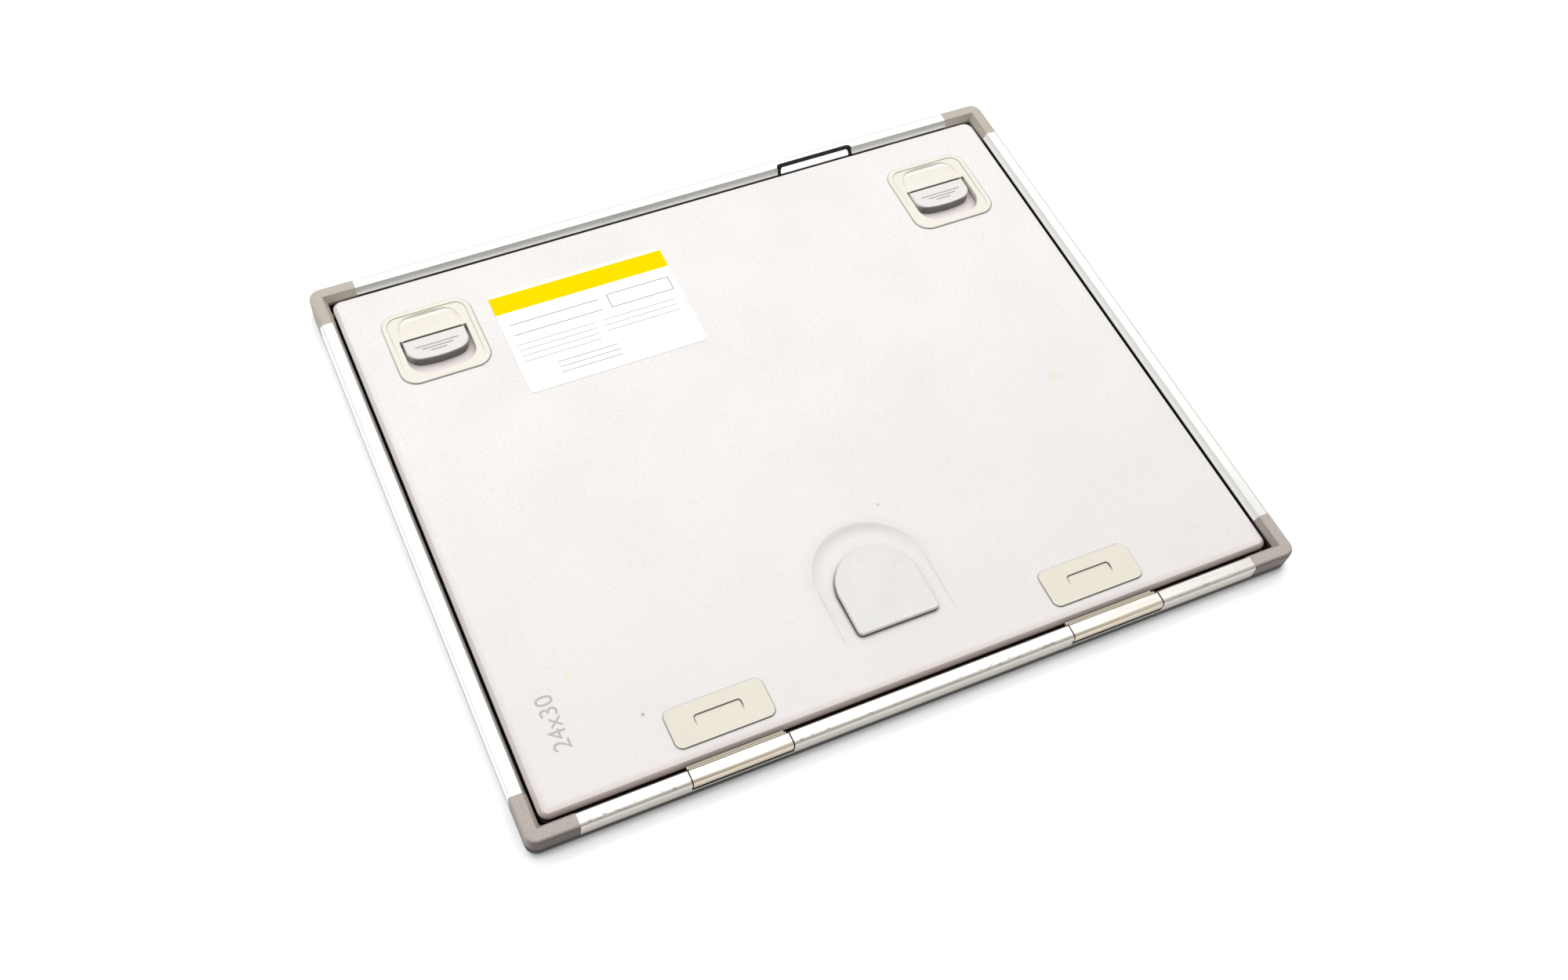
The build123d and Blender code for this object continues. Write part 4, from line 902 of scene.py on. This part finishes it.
def numerals():
    """The film size in plain numerals, read along the left edge of the lid."""
    curve = bpy.data.curves.new("size_numerals", "FONT")
    curve.body = "24x30"
    curve.size = NUMERAL_SIZE * MM
    curve.extrude = 0.01 * MM
    text = bpy.data.objects.new("size_numerals", curve)
    bpy.context.scene.collection.objects.link(text)
    bpy.context.view_layer.update()
    mesh = bpy.data.meshes.new_from_object(text)
    bpy.data.objects.remove(text)
    points = np.zeros(len(mesh.vertices) * 3)
    mesh.vertices.foreach_get("co", points)
    across, up, out = points.reshape(-1, 3).T
    across = across * NUMERAL_RUN * MM / across.max()
    start_x, start_y = NUMERAL_START
    base = (LID_TOP + 0.012) * MM
    placed = np.stack([start_x * MM - up, start_y * MM + across, base + out], -1)
    mesh.vertices.foreach_set("co", placed.ravel())
    mesh.name = "size_numerals"
    mesh.materials.clear()
    mesh.materials.append(NUMERAL_INK)
    made = bpy.data.objects.new("size_numerals", mesh)
    bpy.context.scene.collection.objects.link(made)
    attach(made, "lid")


# ---- camera, floor and light -------------------------------------------------------------
def camera():
    """The photograph's camera: where it stands, its turn, its lens and its shift."""
    place = (-0.2303540, -0.3432801, 0.5821729)
    azimuth, pitch, roll = (math.radians(value) for value in (28.298, 56.323, 5.831))
    forward = Vector((
        math.sin(azimuth) * math.cos(pitch),
        math.cos(azimuth) * math.cos(pitch),
        -math.sin(pitch),
    ))
    level = Vector((math.cos(azimuth), -math.sin(azimuth), 0))
    right = level * math.cos(roll) + level.cross(forward) * math.sin(roll)
    up = right.cross(forward)
    data = bpy.data.cameras.new("camera")
    data.sensor_width, data.lens = 36.0, 39.169
    data.shift_x, data.shift_y = 0.06429, -0.01206
    data.clip_start, data.clip_end = 0.01, 20.0
    made = bpy.data.objects.new("camera", data)
    bpy.context.scene.collection.objects.link(made)
    turn = Matrix((right, up, -forward)).transposed().to_4x4()
    made.matrix_world = Matrix.Translation(place) @ turn
    bpy.context.scene.camera = made


def floor():
    """Wide white table top, with a painted shadow of the near side along the case's foot."""
    reach = 6.0
    mesh = bpy.data.meshes.new("floor")
    corners = [(-reach, -reach, 0), (reach, -reach, 0), (reach, reach, 0), (-reach, reach, 0)]
    mesh.from_pydata(corners, [], [(0, 1, 2, 3)])
    finish = Finish("floor", (250, 250, 250), 0.9)
    finish.feed(finish.shader, {"Emission Color": shade(255, 255, 255), "Emission Strength": 0.2})
    # painted shadow beside the near side's foot
    before = finish.ramp("Y", -130.0, -133.0)
    finish.paint(finish.both(finish.crevice(3.0, 0.35, 0.9), before), (60, 60, 62), 0.9)
    mesh.materials.append(finish.material)
    made = bpy.data.objects.new("floor", mesh)
    bpy.context.scene.collection.objects.link(made)


def sky():
    """Soft white surroundings, brighter over the far side and greyer near the viewer."""
    world = bpy.data.worlds.new("studio")
    bpy.context.scene.world = world
    world.use_nodes = True
    nodes, links = world.node_tree.nodes, world.node_tree.links
    direction = nodes.new("ShaderNodeTexCoord").outputs["Generated"]
    along = nodes.new("ShaderNodeVectorMath")
    along.operation = "DOT_PRODUCT"
    along.inputs[1].default_value = (0.25, 0.62, 0.74)
    links.new(direction, along.inputs[0])
    level = nodes.new("ShaderNodeMapRange")
    for name, value in {"From Min": -0.6, "From Max": 0.75, "To Min": 0.34, "To Max": 1.0}.items():
        level.inputs[name].default_value = value
    links.new(along.outputs["Value"], level.inputs["Value"])
    background = nodes["Background"]
    background.inputs["Color"].default_value = (0.97, 0.985, 1.0, 1.0)
    links.new(level.outputs["Result"], background.inputs["Strength"])


def softbox(name, place, size, power):
    """A large area light that looks at the middle of the case."""
    data = bpy.data.lights.new(name, "AREA")
    data.shape, data.size, data.energy = "SQUARE", size, power
    made = bpy.data.objects.new(name, data)
    bpy.context.scene.collection.objects.link(made)
    look = (-Vector(place)).to_track_quat("-Z", "Y")
    made.matrix_world = Matrix.Translation(place) @ look.to_matrix().to_4x4()


dress()
light_seal()
pressure_foam()
for side in SIDES:
    return_springs(side)
label_print()
numerals()
camera()
floor()
sky()
softbox("key_light", (0.2, 0.75, 1.7), size=1.8, power=15.0)
softbox("fill_light", (-1.2, 0.5, 1.3), size=1.2, power=3.0)
bpy.context.scene.view_settings.view_transform = "Standard"
